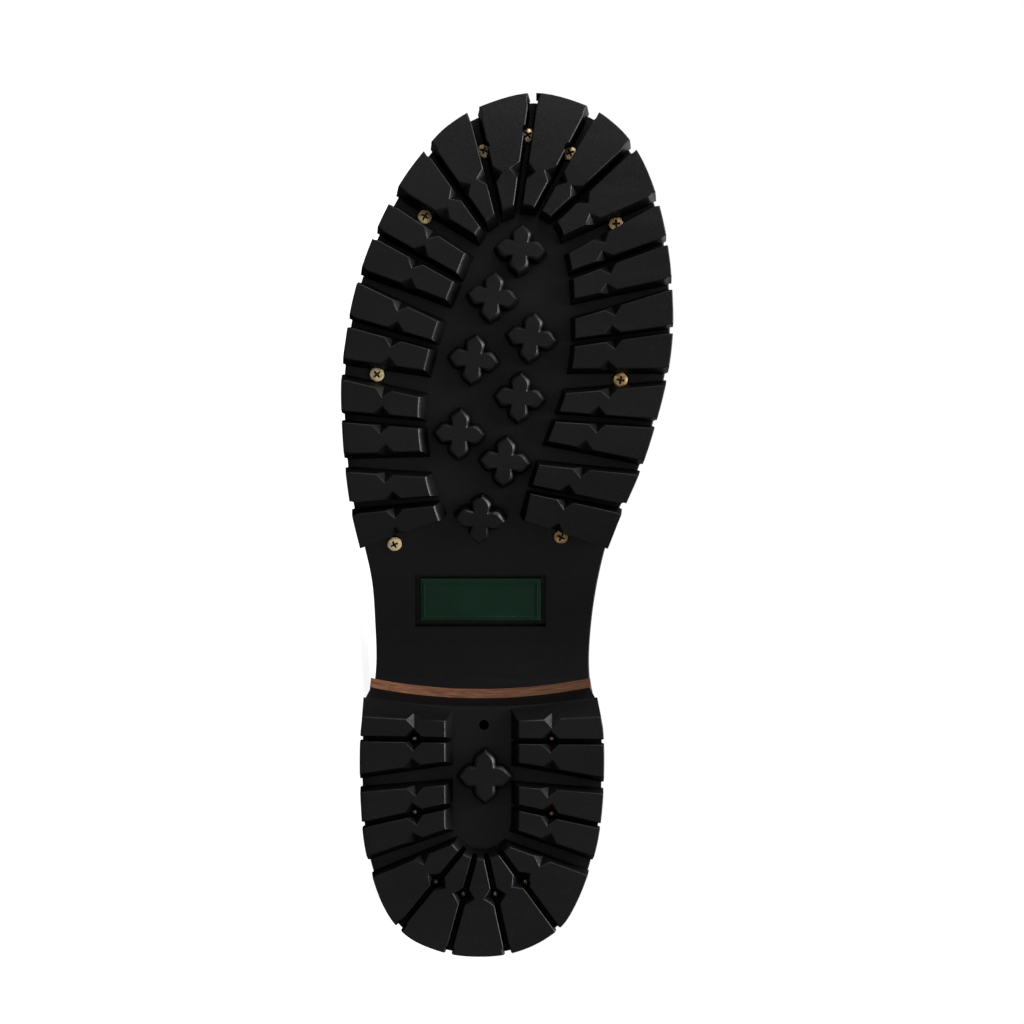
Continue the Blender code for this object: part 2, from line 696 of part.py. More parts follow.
def heel_ring(bm):
    """The heel's lugs before their grooves are cut: a horseshoe open to the breast."""
    def level(corner, half, back, height):
        front = corner.middle - LUG_FRONT_SETBACK
        points = heel_outline(corner) + [(front, half)] + channel(half, back) + [(front, -half)]
        return at_height(points, height)

    root_half, root_back = CHANNEL_HALF - CHANNEL_DRAFT, CHANNEL_BACK + CHANNEL_END_DRAFT
    add_loft(bm, [level(TREAD_CORNER, CHANNEL_HALF, CHANNEL_BACK, 0.0),
                  level(ROOT_CORNER, root_half, root_back, HEEL_LUG + LUG_ROOT)])


def make_heel():
    """Heel block with its lugs, star and nail holes."""
    ring_mesh = bmesh.new()
    heel_ring(ring_mesh)
    lugs = add_object("heel_lugs", ring_mesh, "black_rubber")

    def grooves(bm):
        for groove in HEEL_GROOVES:
            add_groove(bm, groove, HEEL_LUG, NOTCH_AT_HEEL)

    combined("heel_lugs", lugs, "DIFFERENCE", grooves)

    block_mesh = bmesh.new()
    root = heel_outline(ROOT_CORNER, BLOCK_ROOT_INSET) + breast_arc(ROOT_CORNER)
    top = heel_outline(TOP_CORNER, BLOCK_TOP_INSET) + breast_arc(TOP_CORNER)
    drop = LIFT + 2 * GAP
    add_loft(block_mesh, [at_height(root, HEEL_LUG), [(a, b, seat_level(a, drop)) for a, b in top]])
    heel = add_object("heel", block_mesh, "black_rubber")

    def raised(bm):
        bm.from_mesh(lugs.data)
        bmesh.ops.scale(bm, vec=(1 / MM, 1 / MM, 1 / MM), verts=bm.verts[:])
        add_star(bm, HEEL_STAR, HEEL_LUG, HEEL_LUG + LUG_ROOT)

    def holes(bm):
        for place in HEEL_NAILS + (PLAIN_HOLE,):
            ring = circle(place, HOLE_RADIUS, NAIL_SIDES)
            add_loft(bm, [at_height(ring, -OVERRUN), at_height(ring, NAIL_DEPTH + NAIL_LENGTH + GAP)])

    combined("heel", heel, "UNION", raised, many=True)
    combined("heel", heel, "DIFFERENCE", holes)
    bpy.data.objects.remove(lugs)
    return heel


def make_nails():
    """Nail heads at the bottom of their holes."""
    nails = []
    for number, place in enumerate(HEEL_NAILS, start=1):
        bm = bmesh.new()
        ring = circle(place, NAIL_RADIUS, NAIL_SIDES)
        add_loft(bm, [at_height(ring, NAIL_DEPTH), at_height(ring, NAIL_DEPTH + NAIL_LENGTH)])
        nails.append(add_object(f"heel_nail_{number}", bm, "brass"))
    return nails


def make_heel_lift():
    """The leather lift over the heel block, with a bevelled front edge that shows."""
    bm = bmesh.new()
    front = TOP_CORNER._replace(station=TOP_CORNER.station + LIFT_BEVEL,
                                middle=TOP_CORNER.middle + LIFT_BEVEL)
    low = heel_outline(TOP_CORNER, LIFT_INSET) + breast_arc(TOP_CORNER)
    high = heel_outline(front, LIFT_INSET) + breast_arc(front)
    add_loft(bm, [[(a, b, seat_level(a, LIFT + GAP)) for a, b in low],
                  [(a, b, seat_level(a, GAP)) for a, b in high]])
    return add_object("heel_lift", bm, "lift_leather")


# Welt and insole

def make_welt():
    """A leather strip on the outsole, all round the foot of the upper."""
    outer = grown(plate_outline(), -WELT_INSET)
    outer[0] = (plate_outline()[0][0] + WELT_INSET, 0.0)
    bm = bmesh.new()
    low, high = FEATHER_HEIGHT, FEATHER_HEIGHT + WELT
    rings = [at_height(outer, low), at_height(outer, high),
             at_height(feather_outline(WELT_TOP_CLEAR, WELT_TOP_TOE_CLEAR), high),
             at_height(feather_outline(WELT_FOOT_CLEAR, WELT_FOOT_TOE_CLEAR), low)]
    loops = [[bm.verts.new(bend(point)) for point in ring] for ring in rings]
    count = len(loops[0])
    for here, there in zip(loops, loops[1:] + loops[:1]):
        for i in range(count):
            j = (i + 1) % count
            bm.faces.new((here[i], here[j], there[j], there[i]))
    return add_object("welt", bm, "tan_leather")


def make_insole():
    """The footbed inside the upper, on the outsole."""
    bm = bmesh.new()
    outline = feather_outline(-WALL - INSOLE_SIDE)[::2]
    add_loft(bm, [at_height(outline, FEATHER_HEIGHT), at_height(outline, FEATHER_HEIGHT + INSOLE)])
    insole = add_object("insole", bm, "tan_leather")
    bend_object(insole)
    return insole


# Upper

Section = namedtuple("Section", "base top ridge outer inner outer_half inner_half power throat")
LAST_FOOT = len(FOOT_SECTIONS) - 1


def foot_values(row):
    """Values of a section whose ends stand on the feather line."""
    outer, inner = feather_half(row.feather)
    base = bend((row.feather, 0.0, UPPER_FOOT))
    outer, inner = max(row.ridge - outer, 0.0), max(inner - row.ridge, 0.0)
    return np.array([base.x, base.z, row.top_a, row.top_c, row.ridge, outer, inner,
                     max(outer + row.bulge, row.least), max(inner + row.bulge, row.least),
                     row.power, max(row.throat, 0.0)])


def shaft_values(row):
    """Values of a section whose ends meet on the back seam."""
    return np.array([row.back_a, row.back_c, row.front_a, row.front_c, 0.0, 0.0, 0.0,
                     row.half, row.half, row.power, row.throat])


def between(rows, place):
    """Values on a soft curve through the rows, at any place from the first row to the last."""
    index = min(int(place), len(rows) - 2)
    t = place - index
    start, end = rows[index], rows[index + 1]
    before = rows[index - 1] if index else 2 * start - end
    after = rows[index + 2] if index + 2 < len(rows) else 2 * end - start
    return 0.5 * (2 * start + (end - before) * t + (2 * before - 5 * start + 4 * end - after) * t ** 2
                  + (3 * start - before - 3 * end + after) * t ** 3)


@lru_cache(maxsize=None)
def section_at(place):
    """The section at any row, toe first, then up the back seam to the collar, or between rows."""
    if place <= LAST_FOOT:
        rows = [np.array(row) for row in FOOT_SECTIONS]
        values = foot_values(Foot(*between(rows, place)))
    else:
        rows = [foot_values(row) for row in FOOT_SECTIONS[-2:]]
        rows += [shaft_values(row) for row in SHAFT_SECTIONS]
        values = between(rows, place - LAST_FOOT + 1)
        values[5:7] = np.maximum(values[5:7], 0.0)
    base, top = Vector((values[0], 0.0, values[1])), Vector((values[2], 0.0, values[3]))
    return Section(base, top, *values[4:])


def angle_for(half, breadth, power):
    """Section angle, from the bottom, at which the wall is that far from the ridge."""
    share = min(max(breadth / half, 0.0), 1.0)
    return math.asin(share ** (1.0 / power))


def wall_point(section, side, angle):
    """A point of the outer wall: side -1 is the outer side of the foot, +1 the inner side."""
    half = section.outer_half if side < 0 else section.inner_half
    foot = section.outer if side < 0 else section.inner
    start = angle_for(half, foot, section.power)
    rise = (math.cos(start) - math.cos(angle)) / (math.cos(start) + 1.0)
    point = section.base.lerp(section.top, rise)
    breadth = half * max(math.sin(angle), 0.0) ** section.power
    return Vector((point.x, section.ridge + side * breadth, point.z))


def wall_angles(section, side, columns):
    """Angles from the feather, or the back seam, to the throat or the ridge.

    The last two columns split the strip beside the throat, under which the tongue lies.
    """
    half = section.outer_half if side < 0 else section.inner_half
    foot = section.outer if side < 0 else section.inner
    first = angle_for(half, foot, section.power)
    strip = min(TONGUE_HALF, STRIP_SHARE * half)
    edge = math.pi - angle_for(half, strip, section.power)
    middle = math.pi - angle_for(half, (strip + section.throat) / 2, section.power)
    last = math.pi - angle_for(half, section.throat, section.power)
    return list(np.linspace(first, edge, columns - 2)) + [middle, last]


def near_ridge(place, offset, depth=0.0):
    """A point by its distance across from the ridge, sunk below the wall by a depth."""
    def surface(at, across):
        section = section_at(at)
        side = -1 if across < 0 else 1
        half = section.outer_half if side < 0 else section.inner_half
        return wall_point(section, side, math.pi - angle_for(half, abs(across), section.power))

    step = 0.05
    along = surface(min(place + step, TONGUE_TOP_ROW), offset) - surface(place - step, offset)
    across = surface(place, offset + 0.5) - surface(place, offset - 0.5)
    outward = across.cross(along).normalized()
    return surface(place, offset) - outward * depth, outward


def make_upper():
    """One hollow leather wall, open underneath, at the throat and at the collar."""
    bm = bmesh.new()
    tip = bend((max(feather_outline()[:, 0]), TOE_TIP[1], UPPER_FOOT))
    tip_vert = bm.verts.new(tip)
    for side in (-1, 1):
        previous = None
        for place in UPPER_ROWS:
            section = section_at(place)
            row = [bm.verts.new(wall_point(section, side, angle))
                   for angle in wall_angles(section, side, UPPER_COLUMNS)]
            if previous is None:
                for low, high in zip(row, row[1:]):
                    bm.faces.new((tip_vert, high, low))
            else:
                for i in range(UPPER_COLUMNS - 1):
                    bm.faces.new((previous[i], previous[i + 1], row[i + 1], row[i]))
            previous = row
    bmesh.ops.remove_doubles(bm, verts=bm.verts[:], dist=MERGE)
    upper = add_object("upper", bm, "brown_leather")
    wall = upper.modifiers.new("wall", "SOLIDIFY")
    wall.thickness = WALL * MM
    wall.offset = -1.0
    wall.use_even_offset = True
    apply_modifiers(upper)
    return upper


def make_tongue():
    """The tongue under the throat, from inside the vamp to above the collar."""
    bm = bmesh.new()
    places = [TONGUE_FIRST_ROW] + list(TONGUE_ROWS) + [TONGUE_TOP_ROW]
    layers = []
    for depth in (WALL + TONGUE_GAP, WALL + TONGUE_GAP + TONGUE):
        layers.append([[bm.verts.new(near_ridge(place, offset, depth)[0]) for offset in TONGUE_COLUMNS]
                       for place in places])
    rows, columns = len(places), len(TONGUE_COLUMNS)
    for grid, flip in zip(layers, (1, -1)):
        for i in range(rows - 1):
            for j in range(columns - 1):
                quad = (grid[i][j], grid[i][j + 1], grid[i + 1][j + 1], grid[i + 1][j])
                bm.faces.new(quad[::flip])
    border = [(i, 0) for i in range(rows)] + [(rows - 1, j) for j in range(1, columns)]
    border += [(i, columns - 1) for i in range(rows - 2, -1, -1)]
    border += [(0, j) for j in range(columns - 2, 0, -1)]
    for (i, j), (k, m) in zip(border, border[1:] + border[:1]):
        bm.faces.new((layers[0][i][j], layers[0][k][m], layers[1][k][m], layers[1][i][j]))
    return add_object("tongue", bm, "brown_leather")


# Eyelets and lace

def throat_places():
    """Row places along the throat, a pitch apart, from the first eyelets to the top ones."""
    fine = np.linspace(VAMP_ROW, COLLAR_ROW, 400)
    line = [section_at(place).top for place in fine]
    run = np.cumsum([0.0] + [(q - p).length for p, q in zip(line, line[1:])])
    wanted = [EYELET_FIRST + EYELET_PITCH * i for i in range(EYELET_ROWS)]
    return [float(np.interp(w, run, fine)) for w in wanted]


def eyelet_offset(place, side):
    """Distance of an eyelet's centre across from the ridge."""
    return side * (section_at(place).throat + EYELET_SETBACK)


def eyelet_frames(upper):
    """Centre and outward direction of each eyelet, seated on the wall as it is faceted."""
    tree = BVHTree.FromObject(upper, bpy.context.evaluated_depsgraph_get())
    probe = 5.0
    frames = []
    for side, name in ((-1, "outer"), (1, "inner")):
        for number, place in enumerate(throat_places(), start=1):
            point, outward = near_ridge(place, eyelet_offset(place, side))
            hit, _, _, _ = tree.find_nearest(point * MM)
            turn = outward.to_track_quat("Z", "Y").to_matrix()
            rise = 0.0
            for x, y in circle((0.0, 0.0), EYELET_FLANGE, 16):
                start = hit + turn @ Vector((x, y, probe)) * MM
                _, _, _, distance = tree.ray_cast(start, -outward)
                rise = max(rise, probe - distance / MM if distance else 0.0)
            frames.append((f"eyelet_{name}_{number}", hit / MM + outward * rise, outward))
    return frames


def eyelet_mesh():
    """A brass eyelet: a flange outside, a sleeve through the wall and a bore."""
    bore, sleeve, sides = EYELET_BORE, EYELET_HOLE - GAP, EYELET_SIDES
    base = EYELET_BASE
    profile = ((bore, base + EYELET_RISE), (EYELET_FLANGE, base), (sleeve, base),
               (sleeve, EYELET_END), (bore, EYELET_END))
    bm = bmesh.new()
    rings = [[bm.verts.new((*p, height)) for p in circle((0.0, 0.0), radius, sides)]
             for radius, height in profile]
    for here, there in zip(rings, rings[1:] + rings[:1]):
        for i in range(sides):
            j = (i + 1) % sides
            bm.faces.new((here[i], here[j], there[j], there[i]))
    eyelet = add_object("eyelet", bm, "brass")
    mesh = eyelet.data
    bpy.data.objects.remove(eyelet)
    return mesh


def make_eyelets(upper):
    """Eyelet holes cut in the wall, and an eyelet in each."""
    frames = eyelet_frames(upper)

    def holes(bm):
        for _, centre, outward in frames:
            place = Matrix.Translation(centre) @ outward.to_track_quat("Z", "Y").to_matrix().to_4x4()
            ring = circle((0.0, 0.0), EYELET_HOLE, EYELET_SIDES)
            add_loft(bm, [[place @ Vector(p) for p in at_height(ring, height)]
                          for height in EYELET_CUT])

    combined("upper", upper, "DIFFERENCE", holes)
    mesh = eyelet_mesh()
    eyelets = []
    for name, centre, outward in frames:
        eyelet = bpy.data.objects.new(name, mesh)
        bpy.context.scene.collection.objects.link(eyelet)
        eyelet.location = centre * MM
        eyelet.rotation_euler = outward.to_track_quat("Z", "Y").to_euler()
        eyelets.append(eyelet)
    return eyelets


def lace_strand(first_side):
    """Path of one strand: from side to side over the throat, up a row at each crossing."""
    places = throat_places()
    side = first_side
    path = []
    for place, following in zip(places, places[1:]):
        start, end = eyelet_offset(place, side), eyelet_offset(following, -side)
        for t in (0.0, 1 / 3, 2 / 3):
            row, offset = place + (following - place) * t, start + (end - start) * t
            path.append(near_ridge(row, offset, -LACE_LIFT)[0])
        side = -side
    path.append(near_ridge(places[-1], eyelet_offset(places[-1], side), -LACE_LIFT)[0])
    return path


def lace_bar():
    """Path of the straight bar between the two lowest eyelets."""
    place = throat_places()[0]
    reach = eyelet_offset(place, 1)
    return [near_ridge(place, reach * t, -LACE_LIFT)[0] for t in (-1.0, -1 / 3, 1 / 3, 1.0)]


def add_tube(bm, path, radius, sides=5):
    """A round bar along a path."""
    rings = []
    for index, point in enumerate(path):
        ahead = path[min(index + 1, len(path) - 1)] - path[max(index - 1, 0)]
        turn = ahead.to_track_quat("Z", "Y").to_matrix()
        rings.append([point + turn @ Vector(p) for p in at_height(circle((0, 0), radius, sides), 0.0)])
    add_loft(bm, rings)


def make_lace():
    """Both strands and the lowest bar, joined where they cross."""
    bm = bmesh.new()
    add_tube(bm, lace_strand(-1), LACE_RADIUS)
    lace = add_object("lace", bm, "brown_cord")
    combined("lace", lace, "UNION", lambda tool: add_tube(tool, lace_strand(1), LACE_RADIUS))
    combined("lace", lace, "UNION", lambda tool: add_tube(tool, lace_bar(), LACE_RADIUS))
    return lace


# Lying on the floor

def plain_points(obj):
    """The object's points in the upright boot's own frame."""
    return np.array([obj.matrix_basis @ vert.co for vert in obj.data.vertices])


def lying_turn(outsole, heel, upper):
    """Rotation that lays the boot on its outer side, on the ball, the heel and the shaft."""
    turn = Matrix(((-1, 0, 0), (0, 0, 1), (0, 1, 0)))
    groups = [plain_points(obj) for obj in (outsole, heel, upper)]
    groups[0] = groups[0][groups[0][:, 0] > BREAST * MM]
    groups[2] = groups[2][groups[2][:, 2] > SHAFT_SECTIONS[5].back_c * MM]
    for _ in range(8):
        turned = [points @ np.array(turn).T for points in groups]
        ball, back, shaft = [Vector(points[points[:, 2].argmin()]) for points in turned]
        up = (ball - back).cross(shaft - back).normalized()
        up = up if up.z > 0 else -up
        turn = up.rotation_difference(Vector((0, 0, 1))).to_matrix() @ turn
    return turn


def lay_down(pieces, turn):
    """All the pieces under one holder, on the floor, centred over the origin."""
    corners = np.vstack([plain_points(piece) for piece in pieces]) @ np.array(turn).T
    low, high = corners.min(axis=0), corners.max(axis=0)
    holder = bpy.data.objects.new("boot", None)
    bpy.context.scene.collection.objects.link(holder)
    shift = Matrix.Translation((-(low[0] + high[0]) / 2, -(low[1] + high[1]) / 2, -low[2]))
    holder.matrix_world = shift @ turn.to_4x4()
    for piece in pieces:
        piece.parent = holder


def main():
    for obj in list(bpy.data.objects):
        bpy.data.objects.remove(obj)
    outsole = make_outsole()
    heel = make_heel()
    upper = make_upper()
    eyelets = make_eyelets(upper)
    pieces = [outsole, heel, upper, make_badge(), make_heel_lift(), make_welt(), make_insole()]
    pieces += [make_tongue(), make_lace()] + make_screws() + make_nails() + eyelets
    lay_down(pieces, lying_turn(outsole, heel, upper))


main()
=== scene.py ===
"""Looks of a logger boot for the right foot, empty and lying on its outer side.

Shapes are worked out on the upright boot, in millimetres: a runs from the back of the heel to the
toe, b from the outer side (minus) to the inner side (plus), and c up from the tread. Each piece is
then put on the boot as it lies.
"""

import json
import math
from collections import namedtuple
from functools import lru_cache

import bmesh
import bpy
import numpy as np
from mathutils import Matrix, Vector
from mathutils.bvhtree import BVHTree


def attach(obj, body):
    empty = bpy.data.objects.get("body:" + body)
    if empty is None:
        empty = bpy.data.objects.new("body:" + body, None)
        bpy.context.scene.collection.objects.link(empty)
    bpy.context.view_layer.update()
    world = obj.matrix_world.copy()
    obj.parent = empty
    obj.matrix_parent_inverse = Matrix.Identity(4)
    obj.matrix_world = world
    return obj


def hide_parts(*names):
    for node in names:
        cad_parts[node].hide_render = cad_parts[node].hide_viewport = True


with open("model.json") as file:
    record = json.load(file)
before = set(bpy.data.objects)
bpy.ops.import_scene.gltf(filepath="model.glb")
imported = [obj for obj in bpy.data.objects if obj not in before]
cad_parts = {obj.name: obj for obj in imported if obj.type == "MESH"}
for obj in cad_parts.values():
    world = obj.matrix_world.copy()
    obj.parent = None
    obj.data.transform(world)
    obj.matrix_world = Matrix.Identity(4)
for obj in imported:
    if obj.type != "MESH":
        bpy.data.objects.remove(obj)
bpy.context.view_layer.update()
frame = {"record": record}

# Units, clearances and facet sizes, in millimetres
MM = 0.001
GAP = 0.3
MERGE = 0.02
OVERRUN = 1.0
CIRCLE_TURN = 0.37
FINE = 6
FLAT_ANGLE = math.radians(0.5)
SHARP_ANGLE = math.radians(34.0)

# Where the two mounts sit on the upright boot
HEEL_MOUNT = (69.5, 28.0, 0.0)
BALL_MOUNT = (196.5, 54.0, 0.0)

# Outsole and heel
TOE_TIP = (304.9, 18.5)
HEEL_BACK = (0.8, 0.0)
PLATE = 5.5
PLATE_RIM = 0.4
LUG = 7.5
LUG_REACH = 1.0
LUG_ROOT = 0.5
SEAT_BACK = 33.0
SEAT_BREAST = 29.0
BREAST = 95.0
BALL_BACK = 165.0
BALL_FRONT = 215.0
TOE_SPRING = 16.0
SPRING_POWER = 1.8
HEEL_LUG = 8.0
LIFT = 4.0
LIFT_BEVEL = 3.2
BREAST_STEPS = 28
BLOCK_ROOT_INSET = 0.8
BLOCK_TOP_INSET = 1.6
LIFT_INSET = 1.4
LIFT_LEVELS = ((0.0, 0.3), (0.1, 0.0), (0.9, 0.0), (1.0, 0.3))
BEND_STEP = 5.0
WAIST_START = BREAST + 2.0

# Welt, insole and upper
WELT = 3.2
WELT_INSET = 0.6
WELT_TOP_CLEAR, WELT_TOP_TOE_CLEAR = 1.7, 1.2
WELT_FOOT_CLEAR, WELT_FOOT_TOE_CLEAR = 0.5, 0.6
INSOLE = 3.0
INSOLE_SIDE = 1.7
INSOLE_RIM = 0.8
WALL = 2.2
REVEAL_FOOT = 7.5
REVEAL_HEEL = 4.5
REVEAL_FROM, REVEAL_RUN = 60.0, 60.0
TOE_FROM, TOE_RUN = 262.0, 26.0
PLATE_TOP = LUG + PLATE
FEATHER_HEIGHT = PLATE_TOP + GAP
WELT_TOP = FEATHER_HEIGHT + WELT
WELT_EDGE = ((0.4, FEATHER_HEIGHT), (0.0, FEATHER_HEIGHT + 0.5), (0.0, WELT_TOP - 0.8), (0.7, WELT_TOP))
WELT_SEAM, WELT_STITCH_RISE = 2.1, 0.15
UPPER_CLEAR = 0.25
UPPER_FOOT = FEATHER_HEIGHT + UPPER_CLEAR

# Trim
SCREW_RADIUS = 2.6
SCREW_LENGTH = 3.5
SCREW_FACE = LUG - 1.2
SCREW_STEP = math.radians(37.0)
SCREW_SIDES, WELL_SIDES = 28, 24
CROSS_REACH, CROSS_HALF, CROSS_DEPTH = 1.65, 0.47, 1.0
CROSS_TAPER, CROSS_THINNING, CROSS_RIM = 0.5, 0.4, -0.1
NAIL_RADIUS = 1.5
NAIL_DEPTH = 11.5
NAIL_SIDES, HOLE_SIDES = 14, 20
BADGE_SIZE = (14.6, 43.0)
BADGE_MARGIN = 1.75
BADGE_DEPTH = 1.6
BADGE_SINK = 0.4
BADGE_CENTRE = (122.4, -0.6)
EYELET_FIRST = 31.0
EYELET_PITCH = 23.0
EYELET_ROWS = 8
EYELET_SETBACK = 9.0
EYELET_BORE, EYELET_SLEEVE, EYELET_FLANGE = 1.85, 2.3, 4.3
EYELET_SIDES = 24
EYELET_ANGLE = math.radians(60.0)
LACE_RADIUS = 1.55
LACE_SIDES, LACE_STEPS = 12, 7
TONGUE = 2.6
TONGUE_GAP = 1.15
TONGUE_HALF = 26.0

# Turned fittings: radius and height at each point of the profile
SCREW_PROFILE = ((1.0, -SCREW_LENGTH), (1.4, -1.6), (SCREW_RADIUS, -0.7), (SCREW_RADIUS, -0.45),
                 (SCREW_RADIUS - 0.25, -0.08), (1.8, 0.14), (1.1, 0.22), (0.5, 0.24))
NAIL_PROFILE = ((NAIL_RADIUS, -1.7), (NAIL_RADIUS, -0.4), (1.1, -0.1), (0.4, 0.0))
EYELET_PROFILE = ((EYELET_BORE, -1.6), (EYELET_BORE, 0.35), (2.05, 0.72), (2.6, 0.92), (3.4, 0.8),
                  (4.05, 0.45), (EYELET_FLANGE, 0.08), (4.1, -0.1), (EYELET_SLEEVE, -0.12),
                  (EYELET_SLEEVE, -1.6))

# Half breadths of the outsole plate, outer and inner side, by distance from the heel
Breadth = namedtuple("Breadth", "station outer inner")
PLATE_EDGE = (
    Breadth(1.6, 9.0, 9.0),
    Breadth(6.5, 22.0, 22.0),
    Breadth(16.0, 31.5, 31.5),
    Breadth(30.0, 38.2, 38.2),
    Breadth(50.0, 41.3, 41.3),
    Breadth(70.0, 41.7, 41.7),
    Breadth(88.0, 39.6, 39.6),
    Breadth(101.0, 37.9, 38.1),
    Breadth(115.0, 38.2, 38.9),
    Breadth(129.0, 39.2, 41.0),
    Breadth(143.0, 42.0, 44.2),
    Breadth(157.0, 45.2, 48.7),
    Breadth(172.0, 47.3, 55.2),
    Breadth(188.0, 48.5, 60.4),
    Breadth(204.0, 48.7, 64.4),
    Breadth(219.0, 47.0, 66.4),
    Breadth(233.0, 44.4, 66.4),
    Breadth(247.0, 40.2, 65.3),
    Breadth(260.0, 34.8, 63.1),
    Breadth(273.0, 28.0, 59.4),
    Breadth(284.0, 20.1, 54.4),
    Breadth(293.0, 11.9, 47.4),
    Breadth(300.5, -0.8, 36.3),
)
LUG_START = Breadth(144.0, 42.2, 43.6)

# Inner ends of the forefoot lugs
LUG_INNER = (
    Breadth(153.5, 15.6, 15.2),
    Breadth(168.0, 20.0, 18.5),
    Breadth(184.0, 22.5, 24.3),
    Breadth(198.0, 22.4, 29.5),
    Breadth(212.0, 19.5, 32.6),
    Breadth(226.0, 15.3, 33.0),
    Breadth(240.0, 9.8, 32.3),
    Breadth(252.0, 4.6, 29.8),
    Breadth(260.5, -1.4, 25.8),
)
LUG_INNER_TIP = (266.0, 13.6)

# On the inner side of the foot those ends lean less: by which share, and from where to where across
STEEPER = 0.5
STEEPER_SIDE = (8.0, 18.0)

# The round rim of a lug: how far in from its wall, by height under the tread face
Rim = namedtuple("Rim", "height inset")
RIMS = (Rim(0.0, 0.4), Rim(0.05, 0.2), Rim(0.2, 0.05), Rim(0.4, 0.0))

# A forefoot lug by height: how far in its outer rim lies, and how far its inner end leans out
LugLevel = namedtuple("LugLevel", "height inset draft")
LUG_LEVELS = (
    LugLevel(0.0, 0.4, 0.0),
    LugLevel(0.05, 0.2, 0.12),
    LugLevel(0.2, 0.05, 0.3),
    LugLevel(0.4, 0.0, 0.5),
    LugLevel(1.2, 0.0, 1.3),
    LugLevel(LUG + LUG_ROOT, 0.0, 3.4),
)

# Grooves between the lugs: where each leaves the edge, where it ends inside, and its width
Groove = namedtuple("Groove", "edge_a edge_b inner_a inner_b edge_width inner_width")
FOREFOOT_GROOVES = (
    Groove(302.0, 17.9, 264.1, 12.6, 3.1, 3.1),
    Groove(296.4, -2.2, 261.1, 6.3, 3.8, 3.0),
    Groove(283.8, -17.3, 257.7, 1.1, 3.2, 2.9),
    Groove(267.5, -29.0, 250.8, -2.9, 6.2, 7.8),
    Groove(254.8, -36.3, 238.8, -7.7, 3.5, 3.2),
    Groove(239.9, -42.0, 227.2, -12.1, 5.2, 8.6),
    Groove(223.8, -46.0, 215.7, -17.3, 3.7, 3.4),
    Groove(207.2, -48.6, 201.7, -19.1, 7.4, 10.1),
    Groove(190.5, -49.3, 188.1, -20.9, 4.0, 3.9),
    Groove(174.2, -47.5, 173.7, -19.9, 6.5, 9.4),
    Groove(158.0, -45.2, 160.9, -15.3, 4.0, 3.6),
    Groove(297.2, 37.9, 263.9, 19.8, 3.7, 3.0),
    Groove(285.2, 51.6, 259.6, 24.4, 2.9, 3.1),
    Groove(267.1, 60.7, 251.3, 29.1, 3.9, 6.9),
    Groove(252.7, 64.9, 240.4, 30.9, 2.8, 3.0),
    Groove(237.2, 65.8, 228.7, 33.0, 4.0, 7.3),
    Groove(221.3, 66.2, 216.6, 32.3, 2.5, 2.8),
    Groove(204.6, 65.1, 203.1, 30.2, 5.8, 8.9),
    Groove(188.1, 60.7, 190.5, 26.2, 3.2, 3.7),
    Groove(172.6, 55.6, 177.7, 21.5, 5.3, 9.0),
    Groove(158.0, 48.9, 165.1, 16.0, 3.3, 3.1),
)

# Pointed notches in the sides of the grooves: the line they lie on, and their size
NOTCH_LINE = ((146.0, -28.0), (169.4, -33.4), (188.0, -35.6), (210.6, -32.9), (235.0, -27.0),
              (250.6, -20.9), (263.0, -13.1), (271.0, -7.1), (276.0, 2.5), (278.0, 14.9),
              (275.9, 25.8), (269.3, 34.7), (253.7, 42.0), (237.0, 45.0), (215.5, 46.3),
              (198.6, 43.5), (182.0, 38.2), (165.7, 31.5), (148.0, 23.0))
NOTCH_AT_HEEL = 11.5
NOTCH_HALF, NOTCH_DEPTH, NOTCH_FALL = 3.0, 3.1, 3.5
BACK_NOTCHES = (-29.9, 26.2)
GROOVE_TAPER = 0.5
GROOVE_OVERRUN = 4.0
GROOVE_MOUTH = ((-1.4, 0.0), (-0.4, 0.15), (0.7, 0.6), (GROOVE_OVERRUN, 0.6))

# Star lugs: centre, and turn in degrees
Star = namedtuple("Star", "a b turn")
FOREFOOT_STARS = (
    Star(250.0, 13.5, 5.0),
    Star(233.0, 3.6, 7.0),
    Star(218.4, 17.4, 8.0),
    Star(210.6, -3.0, 7.0),
    Star(197.2, 13.2, 4.0),
    Star(184.4, -8.0, 3.0),
    Star(174.6, 8.0, 5.0),
    Star(153.9, -0.6, 4.5),
)
HEEL_STAR = Star(63.4, 1.0, 0.0)

# A star's form: its tips, place and half width of an arm's broad part, and its valleys
StarForm = namedtuple("StarForm", "tip reach wide valley")
FOREFOOT_STAR = StarForm(8.4, 5.5, 2.5, 2.4)
HEEL_STAR_FORM = StarForm(9.0, 5.9, 2.6, 3.1)
STAR_LEVELS = ((0.0, -0.25), (0.04, -0.13), (0.75, 0.55), (1.2, 0.7))
STAR_SKIRT = 1.3
ARM_STEPS = 5

# Screws in the outsole: place, radius of the well over the head, and how dull the head is
Screw = namedtuple("Screw", "a b well dull")
SCREWS = (
    Screw(292.6, 16.3, 2.1, 0.45),
    Screw(286.8, 0.6, 2.1, 0.3),
    Screw(286.0, 31.2, 2.1, 0.5),
    Screw(262.8, -20.3, 2.4, 0.25),
    Screw(260.1, 47.5, 2.4, 0.7),
    Screw(205.5, -37.2, 2.75, 0.1),
    Screw(203.5, 49.0, 2.75, 0.75),
    Screw(143.0, -31.1, 2.75, 0.15),
    Screw(145.8, 28.0, 2.75, 0.8),
)

